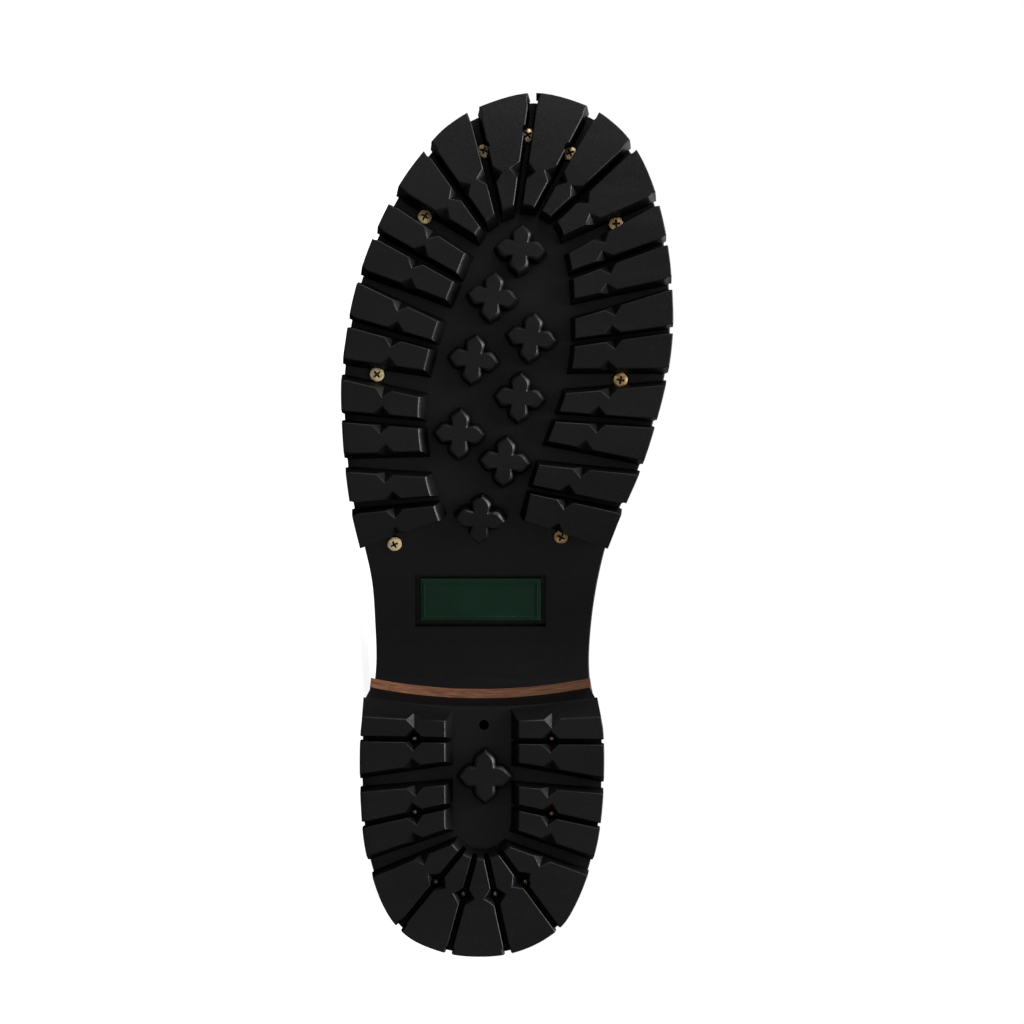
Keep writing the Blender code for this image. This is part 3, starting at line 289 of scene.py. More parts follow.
# Heel tread: half breadths, grooves and nails, outer side first
HEEL_EDGE = (
    Breadth(0.0, 6.5, 4.5),
    Breadth(1.8, 15.4, 13.3),
    Breadth(5.6, 24.4, 21.7),
    Breadth(11.0, 30.6, 28.6),
    Breadth(18.0, 35.0, 33.0),
    Breadth(27.0, 38.4, 36.8),
    Breadth(39.0, 41.5, 40.6),
    Breadth(53.0, 42.8, 42.6),
    Breadth(68.0, 43.2, 43.2),
    Breadth(79.0, 42.9, 42.9),
)
HEEL_GROOVES = (
    Groove(76.8, -43.0, 76.3, -12.7, 1.8, 2.0),
    Groove(61.1, -43.1, 64.6, -12.7, 6.3, 8.5),
    Groove(46.4, -42.0, 52.8, -12.7, 1.8, 2.1),
    Groove(31.6, -39.5, 42.1, -11.8, 7.6, 5.7),
    Groove(12.0, -27.6, 35.2, -8.6, 2.0, 2.0),
    Groove(2.9, -11.3, 32.2, -3.4, 2.0, 2.0),
    Groove(75.6, 43.0, 75.9, 12.7, 1.8, 2.0),
    Groove(60.2, 43.1, 64.1, 12.7, 5.6, 8.8),
    Groove(46.0, 42.0, 52.5, 12.7, 1.8, 2.2),
    Groove(31.8, 38.6, 41.4, 11.6, 7.0, 6.4),
    Groove(9.2, 26.9, 36.1, 7.0, 2.0, 2.1),
    Groove(2.9, 8.7, 32.3, 2.2, 2.0, 2.0),
)
HEEL_NAILS = (
    (76.5, -23.9),
    (76.5, 24.7),
    (50.4, -23.8),
    (49.9, 24.6),
    (25.7, -16.4),
    (25.7, 15.4),
    (21.4, -6.7),
    (21.4, 4.6),
)
PLAIN_HOLE = (81.4, 0.7)
HOLE_RADIUS = 1.75
HOLE_END = NAIL_DEPTH + 2.0
HOLE_POINT = 0.2
HOLE_CONE = 7.0
CHANNEL_END_POINTS = 25
LUG_FRONT_SETBACK = 0.4
FRONT_EDGE, FRONT_LEAN = 83.5, 0.69

# The channel in the heel tread, and the rim of the heel: half breadth and middle of its round end
Channel = namedtuple("Channel", "height inset half back")
CHANNEL_LEVELS = (
    Channel(0.0, 0.4, 13.4, 47.2),
    Channel(0.05, 0.2, 13.28, 47.2),
    Channel(0.2, 0.05, 13.1, 47.2),
    Channel(0.4, 0.0, 12.9, 47.2),
    Channel(1.4, 0.0, 12.2, 47.4),
    Channel(HEEL_LUG + LUG_ROOT, 0.0, 10.2, 47.9),
)

# Breast line of each level: side corner, and its middle
Corner = namedtuple("Corner", "station outer inner middle")
TREAD_CORNER = Corner(84.4, 42.1, 42.1, 83.4)
ROOT_CORNER = Corner(91.2, 42.0, 40.8, 88.0)
TOP_CORNER = Corner(94.6, 41.2, 39.9, 90.4)

# Upper, toe to heel: feather station, ridge point, ridge offset, bulge past the feather,
# least half width, roundness of the section and half width of the throat
Foot = namedtuple("Foot", "feather top_a top_c ridge bulge least power throat")
FOOT_SECTIONS = (
    Foot(295.7, 294.6, 35.0, 18.6, 1.5, 0.0, 0.90, 0.0),
    Foot(293.8, 295.8, 45.0, 18.3, 2.5, 0.0, 0.86, 0.0),
    Foot(289.5, 291.5, 54.5, 17.8, 3.0, 0.0, 0.84, 0.0),
    Foot(282.5, 284.0, 61.5, 17.2, 3.2, 0.0, 0.84, 0.0),
    Foot(272.5, 273.5, 66.8, 16.0, 3.2, 0.0, 0.85, 0.0),
    Foot(259.0, 260.0, 70.0, 14.5, 3.0, 0.0, 0.88, 0.0),
    Foot(243.0, 244.0, 73.0, 12.8, 2.8, 0.0, 0.92, 0.0),
    Foot(226.0, 227.0, 77.5, 11.0, 2.5, 0.0, 0.98, 0.0),
    Foot(208.0, 210.0, 84.0, 9.0, 2.3, 0.0, 1.04, 0.0),
    Foot(190.0, 193.5, 92.5, 7.2, 2.3, 0.0, 1.10, 0.0),
    Foot(180.5, 185.0, 97.8, 6.2, 2.4, 0.0, 1.13, 7.5),
    Foot(169.0, 175.5, 104.0, 5.2, 2.5, 0.0, 1.14, 10.0),
    Foot(148.0, 158.5, 118.5, 3.4, 3.0, 0.0, 1.12, 11.0),
    Foot(124.0, 143.0, 136.0, 2.0, 3.6, 33.0, 1.08, 11.5),
    Foot(98.0, 131.0, 155.5, 1.0, 3.2, 37.0, 1.02, 11.5),
    Foot(72.0, 124.5, 174.0, 0.5, 2.4, 38.4, 0.97, 11.5),
    Foot(48.0, 122.0, 190.0, 0.0, 2.2, 38.8, 0.93, 11.5),
    Foot(29.0, 121.3, 203.5, 0.0, 2.0, 38.8, 0.90, 11.5),
    Foot(16.0, 121.5, 214.0, 0.0, 2.0, 38.7, 0.88, 11.5),
    Foot(9.0, 121.9, 221.0, 0.0, 2.0, 38.6, 0.87, 11.5),
    Foot(5.3, 122.2, 225.5, 0.0, 2.0, 38.6, 0.86, 11.5),
)

# Upper, up the back seam: seam point, front point, half width, roundness, throat
Shaft = namedtuple("Shaft", "back_a back_c front_a front_c half power throat")
SHAFT_SECTIONS = (
    Shaft(2.8, 60.0, 122.7, 231.0, 38.4, 0.85, 11.5),
    Shaft(4.6, 88.0, 123.3, 238.0, 38.2, 0.85, 11.6),
    Shaft(9.4, 115.0, 123.9, 245.0, 38.6, 0.85, 11.8),
    Shaft(12.6, 146.0, 124.5, 252.0, 39.4, 0.86, 12.0),
    Shaft(12.4, 178.0, 125.1, 258.5, 40.6, 0.87, 12.2),
    Shaft(9.8, 210.0, 125.7, 264.5, 42.0, 0.88, 12.5),
    Shaft(6.8, 240.0, 126.3, 269.8, 43.2, 0.88, 12.8),
    Shaft(4.6, 263.0, 126.8, 273.6, 44.0, 0.88, 13.0),
    Shaft(3.2, 280.0, 127.2, 276.5, 44.4, 0.88, 13.2),
    Shaft(2.4, 294.0, 127.7, 289.0, 44.6, 0.88, 13.4),
)
LAST_FOOT = len(FOOT_SECTIONS) - 1
COLLAR_ROW = LAST_FOOT + len(SHAFT_SECTIONS) - 1
TONGUE_TOP_ROW = COLLAR_ROW + 1
VAMP_ROW = 9
TONGUE_FIRST_ROW = VAMP_ROW - 0.4

# Grid of the upper, and its panels: each seam's run, and how far one panel lies over the other
ROW_STEP = 2.0
WALL_COLUMNS = 60
TOE_ROWS = 6
TOE_BULGE = 0.8
TOE_FRONT = 4.0
WALL_ANGLE = math.radians(55.0)
UPPER_MIDDLE = (60.0, 0.0, 150.0)
VAMP_AT_FEATHER, VAMP_AT_THROAT, VAMP_CURVE = 13.4, 10.4, 1.25
VAMP_DROP, VAMP_FADE, VAMP_EDGE = 1.0, 1.4, 0.024
COUNTER_LINE = ((7.0, 0.0, 101.0), (11.0, 18.0, 101.0), (28.0, 33.0, 97.0), (50.0, 38.0, 88.0),
                (70.0, 40.0, 71.0), (83.0, 40.0, 52.0), (91.0, 40.0, 33.0))
COUNTER_RISE, COUNTER_EDGE, COUNTER_REACH = 0.8, 0.9, 1.0
STRAP_HALF, STRAP_RISE, STRAP_FROM = 9.0, 0.6, 101.0
STRAP_EDGE, STRAP_BEFORE = 0.9, 40.0
EYESTAY = 21.0
STAY_EDGE = 2.4
COLLAR_BAND = 9.0
SEAM_CORD, SEAM_SIDES = 0.5, 6

# Seams: share or rows of each line's run, its points, and how far the line keeps from others
VAMP_SHARES, VAMP_BEHIND = (0.02, 0.985), 0.01
BAND_SHARES, SHAFT_ROW = (0.0, 0.97), 17.0
FACING_SHARE, FACING_FROM, FACING_END = 0.9, 0.45, 0.05
STRAP_FIRST_ROW, STRAP_END = 22.6, 0.15
SEAM_POINTS, FACING_POINTS, STRAP_POINTS, COUNTER_STEPS = 70, 90, 60, 10

# Tongue: its grid and edges, how it narrows at the top, and where the lace presses it down
TONGUE_STEP, TONGUE_COLUMNS = 2.5, 41
TONGUE_RIM, TONGUE_RIM_STEPS = 0.6, 2
TONGUE_RIM_ANGLE, TONGUE_ANGLE = math.radians(50.0), math.radians(60.0)
TONGUE_TOP, TONGUE_NARROWING = 0.75, 0.3
TONGUE_WEAR, TONGUE_WEAR_POWER = 0.3, 8
PRESS_DEPTH, PRESS_START, PRESS_END = 2.4, (-7.0, -1.0), (13.0, 17.0)
LACED_START, LACED_END = (-1.2, -0.3), (0.5, 1.6)
PUFF = 0.5

# Stitches: pitch, and length, width and height of one
Stitch = namedtuple("Stitch", "pitch length width height")
UPPER_STITCH = Stitch(3.0, 2.3, 0.75, 0.6)
WELT_STITCH = Stitch(4.4, 3.3, 1.1, 0.9)
SEAM_ROWS = (2.4, 5.2)
STAY_ROWS = (-1.3, 1.3)
STITCH_RISE = 0.12

# Creases of the upper: a line over the leather, its depth and its width
Crease = namedtuple("Crease", "depth width line")
VAMP_CREASES = (
    Crease(1.5, 3.2, ((216, -40, 46), (209, -22, 74), (205, 9, 85), (209, 38, 74), (218, 57, 46))),
    Crease(1.3, 3.0, ((203, -42, 44), (195, -22, 78), (191, 8, 93), (195, 36, 80), (205, 56, 46))),
    Crease(0.8, 2.6, ((226, -18, 68), (221, 10, 79), (225, 36, 69))),
)
SIDE_CREASES = (
    Crease(1.5, 4.0, ((146, 20, 128), (124, 34, 116), (98, 42, 104))),
    Crease(1.2, 4.4, ((134, 22, 150), (108, 36, 139), (78, 40, 132))),
    Crease(0.9, 6.0, ((120, 26, 186), (88, 40, 178), (48, 40, 182))),
    Crease(0.8, 5.0, ((60, 38, 118), (36, 34, 122), (16, 18, 128))),
)
CREASE_RIDGE, CREASE_FADE = 0.35, 0.7
RIDGE_AWAY, RIDGE_WIDTH = 2.2, 1.3
SIDE_SHIFT = 3.0

# Wear and painted highlight: full on a ridge so high, and its strength there and on the raised edges of
# panels
RIDGE_WORN_AND_HIGHLIT, RIDGE_WEAR_AND_HIGHLIGHT = 0.5, 0.6
EDGE_WEAR_AND_HIGHLIGHT, EDGE_WORN_AND_HIGHLIT, EDGE_WORN_AND_HIGHLIT_END = 0.35, (0.25, 0.5), 0.65

# The floor: least height of the leather over it, and how softly the leather comes to lie
FLOOR_LEAST, FLOOR_SOFT = 0.35, 1.0


# Place of the boot

def lying_matrix():
    """From millimetres on the upright boot to metres on the lying one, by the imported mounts."""
    mounts = {mount["name"]: mount for mount in frame["record"]["mounts"]}
    heel = Vector(mounts["heel_tread"]["pos_m"])
    ball = Vector(mounts["forefoot_tread"]["pos_m"])
    upward = -Vector(mounts["heel_tread"]["axis"]).normalized()

    def basis(along, up):
        along = (along - up * along.dot(up)).normalized()
        return Matrix((along, up.cross(along), up)).transposed()

    boot_along = Vector(BALL_MOUNT) - Vector(HEEL_MOUNT)
    turn = basis(ball - heel, upward) @ basis(boot_along, Vector((0, 0, 1))).transposed()
    start = heel - turn @ Vector(HEEL_MOUNT) * MM
    return Matrix.Translation(start) @ turn.to_4x4() @ Matrix.Scale(MM, 4)


LYING = lying_matrix()
LYING_TURN = LYING.to_3x3() * (1 / MM)


# Curves and outlines in the plan of the sole

def soft_between(before, start, end, after, t):
    """Part of the way along a soft curve from start to end, led by the values on either side."""
    return 0.5 * (2 * start + (end - before) * t + (2 * before - 5 * start + 4 * end - after) * t ** 2
                  + (3 * start - before - 3 * end + after) * t ** 3)


def smooth(points, per_span=FINE):
    """Points along a soft curve that passes through the given points."""
    knots = [np.array(point, dtype=float) for point in points]
    knots = [2 * knots[0] - knots[1]] + knots + [2 * knots[-1] - knots[-2]]
    spans = zip(knots, knots[1:], knots[2:], knots[3:])
    curve = [soft_between(*span, step / per_span) for span in spans for step in range(per_span)]
    return curve + [knots[-2]]


def running_length(path):
    """Length along a path up to each of its points."""
    return np.cumsum([0.0] + [(q - p).length for p, q in zip(path, path[1:])])


def soft_step(value, start, end):
    """From 0 to 1 between two values, with soft ends."""
    t = np.clip((np.asarray(value, dtype=float) - start) / (end - start), 0.0, 1.0)
    return t * t * (3.0 - 2.0 * t)


def grown(chain, distance, closed=False):
    """A chain that runs anticlockwise, moved outwards by a distance or by one for each point."""
    points = np.array(chain)
    if closed:
        ahead, behind = np.roll(points, -1, axis=0), np.roll(points, 1, axis=0)
    else:
        ahead = np.vstack([points[1:], 2 * points[-1] - points[-2]])
        behind = np.vstack([2 * points[0] - points[1], points[:-1]])
    along = ahead - behind
    along /= np.linalg.norm(along, axis=1)[:, None]
    outward = np.stack([along[:, 1], -along[:, 0]], axis=1)
    return points + outward * np.broadcast_to(distance, len(points))[:, None]


def edge_points(rows, tip):
    """Outer side from heel to toe, the tip, then the inner side back to the heel."""
    outer = [(row.station, -row.outer) for row in rows]
    inner = [(row.station, row.inner) for row in reversed(rows)]
    return outer + [tip] + inner


@lru_cache(maxsize=None)
def plate_outline(inset=0.0):
    """The whole outsole plate, drawn in by an inset, from the back of the heel round to it."""
    round_trip = [HEEL_BACK] + edge_points(PLATE_EDGE, TOE_TIP) + [HEEL_BACK]
    return grown(smooth(round_trip)[:-1], -inset, closed=True)


@lru_cache(maxsize=None)
def feather_outline(extra=0.0, toe_extra=0.0):
    """The line where the upper meets the sole, inside the plate's edge by the welt's reveal."""
    outline = plate_outline()
    forward = np.clip((outline[:, 0] - REVEAL_FROM) / REVEAL_RUN, 0.0, 1.0)
    toe = np.clip((outline[:, 0] - TOE_FROM) / TOE_RUN, 0.0, 1.0)
    reveal = REVEAL_HEEL + (REVEAL_FOOT - REVEAL_HEEL) * forward - extra - toe_extra * toe
    return grown(outline, -reveal, closed=True)


@lru_cache(maxsize=None)
def feather_half(station):
    """Offsets of the feather line, outer and inner, at a distance from the heel."""
    line = feather_outline()
    tip = int(np.argmax(line[:, 0]))
    outer, inner = line[:tip + 1], np.vstack([line[:1], line[tip:][::-1]])
    return (float(np.interp(station, outer[:, 0], outer[:, 1])),
            float(np.interp(station, inner[:, 0], inner[:, 1])))


# The rise of the sole over the floor

def tread_height(a):
    """Height of the tread line: flat at the ball, up to the heel seat and up at the toe."""
    back, breast = SEAT_BACK - LUG, SEAT_BREAST - LUG
    seat_slope = (breast - back) / BREAST
    if a <= BREAST:
        return back + seat_slope * a
    if a < BALL_BACK:
        run = BALL_BACK - BREAST
        t = (a - BREAST) / run
        return breast * (2 * t ** 3 - 3 * t ** 2 + 1) + seat_slope * run * (t ** 3 - 2 * t ** 2 + t)
    if a <= BALL_FRONT:
        return 0.0
    return TOE_SPRING * ((a - BALL_FRONT) / (TOE_TIP[0] - BALL_FRONT)) ** SPRING_POWER


def tread_angle(a):
    """Slope of the tread line, in radians."""
    step = 0.05
    return math.atan((tread_height(a + step) - tread_height(a - step)) / (2 * step))


def bend(point):
    """A point of the flat sole, with its height over the tread, put on the bent sole."""
    a, b, h = point
    angle = tread_angle(a)
    return Vector((a - math.sin(angle) * h, b, tread_height(a) + math.cos(angle) * h))


def tread_outward(a):
    """Direction out of the tread, towards the ground."""
    angle = tread_angle(a)
    return Vector((math.sin(angle), 0.0, -math.cos(angle)))


def seat_level(a, drop):
    """Height of the heel seat less a drop."""
    return SEAT_BACK + (SEAT_BREAST - SEAT_BACK) * a / BREAST - drop


# Mesh helpers

def mesh_object(name, bm):
    """A scene object from a mesh on the upright boot, still in millimetres."""
    mesh = bpy.data.meshes.new(name)
    bm.to_mesh(mesh)
    bm.free()
    obj = bpy.data.objects.new(name, mesh)
    bpy.context.scene.collection.objects.link(obj)
    return obj


def outward_object(name, bm):
    """A scene object from a closed mesh, with its faces turned outwards."""
    bmesh.ops.recalc_face_normals(bm, faces=bm.faces[:])
    return mesh_object(name, bm)


def apply_modifiers(obj):
    """The object's evaluated mesh in place of its modifiers."""
    seen = obj.evaluated_get(bpy.context.evaluated_depsgraph_get())
    mesh = bpy.data.meshes.new_from_object(seen)
    obj.modifiers.clear()
    obj.data = mesh


def edited(obj):
    """The object's mesh, open for editing."""
    bm = bmesh.new()
    bm.from_mesh(obj.data)
    return bm


def put_on_boot(obj, slot, nodes, *materials):
    """A finished piece laid down with the boot, riding on it in place of its plain solids."""
    obj.data.transform(LYING)
    obj.data.materials.clear()
    for material in materials:
        obj.data.materials.append(material)
    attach(obj, "root")
    if nodes:
        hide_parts(*nodes)
    return obj


def soft_shading(obj, angle):
    """Smooth shading with sharp edges kept."""
    obj.data.shade_smooth()
    obj.data.set_sharp_from_angle(angle=angle)


def even_shading(obj, angle=SHARP_ANGLE):
    """Soft shading with flat faces left flat beside their soft rims."""
    soft_shading(obj, angle)
    weighted = obj.modifiers.new("weighted", "WEIGHTED_NORMAL")
    weighted.keep_sharp = True
    apply_modifiers(obj)


def add_loft(bm, levels, closed_ends=True):
    """A solid through rings of points, each ring as long as the next, or a ring-shaped solid."""
    rings = [[bm.verts.new(point) for point in level] for level in levels]
    count = len(rings[0])
    following = rings[1:] if closed_ends else rings[1:] + rings[:1]
    for lower, upper in zip(rings, following):
        for i in range(count):
            j = (i + 1) % count
            bm.faces.new((lower[i], lower[j], upper[j], upper[i]))
    if closed_ends:
        bm.faces.new(rings[0][::-1])
        bm.faces.new(rings[-1])


def lofted(name, levels, closed_ends=True):
    """A scene object from a solid through rings of points."""
    bm = bmesh.new()
    add_loft(bm, levels, closed_ends)
    return outward_object(name, bm)


def add_sheet(bm, grid, flipped=False):
    """Faces between the rows of a grid of points."""
    for lower, upper in zip(grid, grid[1:]):
        for i in range(len(lower) - 1):
            quad = (lower[i], lower[i + 1], upper[i + 1], upper[i])
            bm.faces.new(quad[::-1] if flipped else quad)


def thicken(obj, thickness):
    """A sheet given its thickness, towards its inside."""
    wall = obj.modifiers.new("wall", "SOLIDIFY")
    wall.thickness = thickness
    wall.offset = -1.0
    return wall


def at_height(outline, height):
    """Plan points at one height."""
    return [(point[0], point[1], height) for point in outline]


def circle(centre, radius, sides):
    """Plan points of a circle, turned part of a side so that no two cuts share an edge line."""
    turns = [(i + CIRCLE_TURN) * math.tau / sides for i in range(sides)]
    return [(centre[0] + radius * math.cos(t), centre[1] + radius * math.sin(t)) for t in turns]


def combined(base, operation, fill):
    """The object cut by, or joined with, the solids that a filling function adds to one mesh."""
    tool_mesh = bmesh.new()
    fill(tool_mesh)
    bmesh.ops.triangulate(tool_mesh, faces=[face for face in tool_mesh.faces if len(face.verts) == 4])
    tool = outward_object(base.name + "_tool", tool_mesh)
    change = base.modifiers.new(operation.lower(), "BOOLEAN")
    change.operation = operation
    change.object = tool
    apply_modifiers(base)
    bpy.data.objects.remove(tool)


def join_to(obj, other):
    """Another object's mesh added to the object's own."""
    bm = edited(obj)
    bm.from_mesh(other.data)
    bm.to_mesh(obj.data)
    bm.free()
    bpy.data.objects.remove(other)


def bend_object(obj):
    """A flat sole piece cut across in short steps and put on the bent sole."""
    bm = edited(obj)
    bmesh.ops.dissolve_limit(bm, angle_limit=FLAT_ANGLE, verts=bm.verts[:], edges=bm.edges[:])
    waist = np.arange(WAIST_START, BALL_BACK, BEND_STEP)
    toe = np.arange(BALL_FRONT + BEND_STEP, TOE_TIP[0], BEND_STEP)
    for station in list(waist) + list(toe):
        cut = bm.verts[:] + bm.edges[:] + bm.faces[:]
        bmesh.ops.bisect_plane(bm, geom=cut, dist=MERGE, plane_co=(station, 0, 0), plane_no=(1, 0, 0))
    bmesh.ops.triangulate(bm, faces=bm.faces[:])
    for vert in bm.verts:
        vert.co = bend(vert.co)
    bm.to_mesh(obj.data)
    bm.free()


def add_tube(bm, path, radius, sides, layer=None, turns_per_length=1.0):
    """A round cord along a path, with its length and its way round kept as a map."""
    rings = []
    side = None
    run = 0.0
    for index, point in enumerate(path):
        ahead = (path[min(index + 1, len(path) - 1)] - path[max(index - 1, 0)]).normalized()
        if side is None:
            side = ahead.orthogonal().normalized()
        else:
            run += (point - path[index - 1]).length
            side = (side - ahead * side.dot(ahead)).normalized()
        other = ahead.cross(side)
        turns = [i * math.tau / sides for i in range(sides)]
        ring = [bm.verts.new(point + (side * math.cos(t) + other * math.sin(t)) * radius) for t in turns]
        rings.append((ring, run))
    for (lower, start), (upper, end) in zip(rings, rings[1:]):
        for i in range(sides):
            j = (i + 1) % sides
            face = bm.faces.new((lower[i], lower[j], upper[j], upper[i]))
            if layer:
                around = ((i, start), (i + 1, start), (i + 1, end), (i, end))
                for loop, (step, length) in zip(face.loops, around):
                    loop[layer].uv = (step / sides, length * turns_per_length)
    bm.faces.new(rings[0][0][::-1])
    bm.faces.new(rings[-1][0])


# Finishes

TREAD_OUT = (0.0, -1.0, 0.0)
DUST = (0.05, 0.05, 0.053)
# How far the painted shade in grooves looks for closing surfaces, in metres
GROOVE_SHADE = 0.007
WALL_TO_FACE = (0.25, 0.6)
LIFT_ACROSS = (0.005, 0.085)


class Look:
    """A material under construction, read in the boot's own metres."""

    def __init__(self, name):
        self.material = bpy.data.materials.new(name)
        self.material.use_nodes = True
        self.tree = self.material.node_tree
        self.shader = self.tree.nodes["Principled BSDF"]
        self.place = self.add("ShaderNodeTexCoord", {}).outputs["Object"]

    def add(self, kind, inputs, **settings):
        """A node with its settings, and each input set to a value or fed by another node."""
        made = self.tree.nodes.new(kind)
        for name, value in settings.items():
            setattr(made, name, value)
        for name, value in inputs.items():
            self.feed(made.inputs[name], value)
        return made

    def feed(self, socket, value):
        """An input set to a value, or fed by another node's output."""
        if isinstance(value, bpy.types.NodeSocket):
            self.tree.links.new(value, socket)
        else:
            socket.default_value = value

    def set(self, **inputs):
        """Inputs of the surface itself."""
        for name, value in inputs.items():
            self.feed(self.shader.inputs[name.replace("_", " ")], value)

    def stretched(self, scale, turn=(0.0, 0.0, 0.0)):
        """The boot's place, scaled and turned for a pattern with a direction."""
        inputs = {"Vector": self.place, "Scale": scale, "Rotation": turn}
        return self.add("ShaderNodeMapping", inputs).outputs[0]

    def noise(self, scale, detail=3.0, roughness=0.5, place=None):
        """Cloudy noise, so many clouds to the metre."""
        inputs = {"Vector": place or self.place, "Scale": scale, "Detail": detail, "Roughness": roughness}
        return self.add("ShaderNodeTexNoise", inputs).outputs["Fac"]

    def cells(self, scale, feature="F1", place=None):
        """Distance inside small cells, so many cells to the metre."""
        inputs = {"Vector": place or self.place, "Scale": scale}
        return self.add("ShaderNodeTexVoronoi", inputs, feature=feature).outputs["Distance"]

    def ramp(self, factor, *stops):
        """Colours or greys along a factor."""
        made = self.add("ShaderNodeValToRGB", {"Fac": factor})
        band = made.color_ramp
        while len(band.elements) < len(stops):
            band.elements.new(0.5)
        for element, (position, colour) in zip(band.elements, stops):
            element.position = position
            element.color = (*colour, 1.0) if isinstance(colour, tuple) else (colour, colour, colour, 1.0)
        return made.outputs["Color"]

    def span(self, factor, low, high, start=0.0, end=1.0):
        """A factor laid over another range."""
        inputs = {"Value": factor, "From Min": start, "From Max": end, "To Min": low, "To Max": high}
        return self.add("ShaderNodeMapRange", inputs).outputs["Result"]

    def mix(self, factor, first, second, blend="MIX"):
        """Two colours mixed by a factor."""
        made = self.add("ShaderNodeMix", {}, data_type="RGBA", blend_type=blend)
        self.feed(made.inputs[0], factor)
        for socket, colour in ((made.inputs[6], first), (made.inputs[7], second)):
            self.feed(socket, (*colour, 1.0) if isinstance(colour, tuple) else colour)
        return made.outputs[2]

    def sum(self, first, second, operation="ADD"):
        """Two values put together."""
        made = self.add("ShaderNodeMath", {}, operation=operation)
        self.feed(made.inputs[0], first)
        self.feed(made.inputs[1], second)
        return made.outputs[0]

    def attribute(self, name):
        """A value kept on the mesh."""
        return self.add("ShaderNodeAttribute", {}, attribute_name=name).outputs["Fac"]

    def along(self, direction):
        """How far the surface faces a direction of the boot."""
        facing = self.add("ShaderNodeTexCoord", {}).outputs["Normal"]
        made = self.add("ShaderNodeVectorMath", {}, operation="DOT_PRODUCT")
        self.feed(made.inputs[0], facing)
        self.feed(made.inputs[1], direction)
        return made.outputs["Value"]

    def openness(self, distance):
        """How open the surface lies: little in a narrow groove, all of it on a free face."""
        return self.add("ShaderNodeAmbientOcclusion", {"Distance": distance}, samples=4).outputs["AO"]

    def across(self, axis):
        """The boot's place along one axis, in metres."""
        return self.add("ShaderNodeSeparateXYZ", {"Vector": self.place}).outputs[axis]

    def bump(self, height, strength, depth, under=None):
        """A surface raised by a height, over another one or by itself."""
        inputs = {"Height": height, "Strength": strength, "Distance": depth}
        if under:
            inputs["Normal"] = under
        return self.add("ShaderNodeBump", inputs).outputs["Normal"]


def rubber_look(name, dark, light, shine, gloss):
    """Moulded rubber: fine mould grain, a cloudy bloom, dust, rougher walls than faces, and painted shade:
    less gloss on walls and in narrow grooves.
    """
    look = Look(name)
    bloom = look.noise(38.0, 5.0, 0.6)
    rubbed = look.noise(60.0, 4.0, 0.6, look.stretched((1.0, 1.0, 0.25), (0.0, 0.5, 0.0)))
    grain = look.noise(1600.0, 3.0, 0.6)
    pits = look.noise(420.0, 2.0, 0.5)
    clouds = look.sum(bloom, rubbed, "MULTIPLY")
    facing = look.along(TREAD_OUT)
    rough = look.span(look.sum(rubbed, grain), shine - 0.07, shine + 0.1, 0.6, 1.4)
    specks = look.span(look.noise(1100.0, 2.0, 0.5), 0.0, 0.6, 0.7, 0.76)
    dust = look.sum(specks, look.span(bloom, 0.0, 1.0, 0.45, 0.65), "MULTIPLY")
    # Painted shade: the gloss is turned down where the surface lies closed in, as in narrow grooves.
    clear = look.span(look.openness(GROOVE_SHADE), 0.12, 1.0, 0.1, 0.6)
    # Painted shade: walls that face away from the tread keep only three tenths of the faces' gloss.
    gloss_with_painted_shade = look.sum(look.span(facing, 0.3 * gloss, gloss, *WALL_TO_FACE), clear, "MULTIPLY")
    look.set(Base_Color=look.mix(dust, look.ramp(clouds, (0.12, dark), (0.42, light)), DUST),
             Roughness=look.sum(rough, look.span(facing, 0.2, 0.0, *WALL_TO_FACE)),
             Specular_IOR_Level=gloss_with_painted_shade,
             Normal=look.bump(grain, 0.22, 0.0002, look.bump(pits, 0.12, 0.0004)))
    return look.material


def brass_look(name, bright, tarnish, roughness, metal=1.0):
    """Brass with tarnish in clouds and fine turning marks."""
    look = Look(name)
    clouds = look.noise(520.0, 4.0, 0.6)
    marks = look.noise(2600.0, 2.0, 0.5)
    tone = look.ramp(look.sum(clouds, look.span(look.attribute("dull"), 0.0, -0.3)),
                     (0.2, tarnish), (0.5, bright))
    dirt = look.attribute("dirt")
    look.set(Base_Color=look.mix(dirt, tone, (0.016, 0.008, 0.004)),
             Metallic=look.span(dirt, metal, 0.0),
             Roughness=look.span(clouds, roughness + 0.16, roughness - 0.06, 0.3, 0.65),
             Normal=look.bump(marks, 0.12, 0.0001))
    return look.material


def lift_look():
    """Cut leather board: short fibres along the edge, dark flecks, and darker to the inner side."""
    look = Look("lift_leather")
    fibres = look.noise(900.0, 4.0, 0.65, look.stretched((1.0, 2.2, 0.14)))
    flecks = look.noise(330.0, 3.0, 0.6, look.stretched((1.0, 1.6, 0.3)))
    clouds = look.noise(70.0, 3.0, 0.5)
    base = look.ramp(fibres, (0.3, (0.1, 0.038, 0.019)), (0.52, (0.2, 0.083, 0.043)),
                     (0.72, (0.3, 0.14, 0.075)))
    burnt = look.mix(look.span(flecks, 0.0, 0.75, 0.45, 0.75), base, (0.06, 0.023, 0.012))
    worn = look.mix(look.span(clouds, 0.0, 0.35, 0.4, 0.7), burnt, (0.24, 0.102, 0.05))
    across = look.span(look.across("Z"), 0.0, 1.0, *LIFT_ACROSS)
    shade = look.ramp(across, (0.0, 1.0), (0.5, 0.76), (1.0, 0.54))
    look.set(Base_Color=look.mix(1.0, worn, shade, "MULTIPLY"), Roughness=0.82, Specular_IOR_Level=0.2,
             Normal=look.bump(fibres, 0.5, 0.0004))
    return look.material


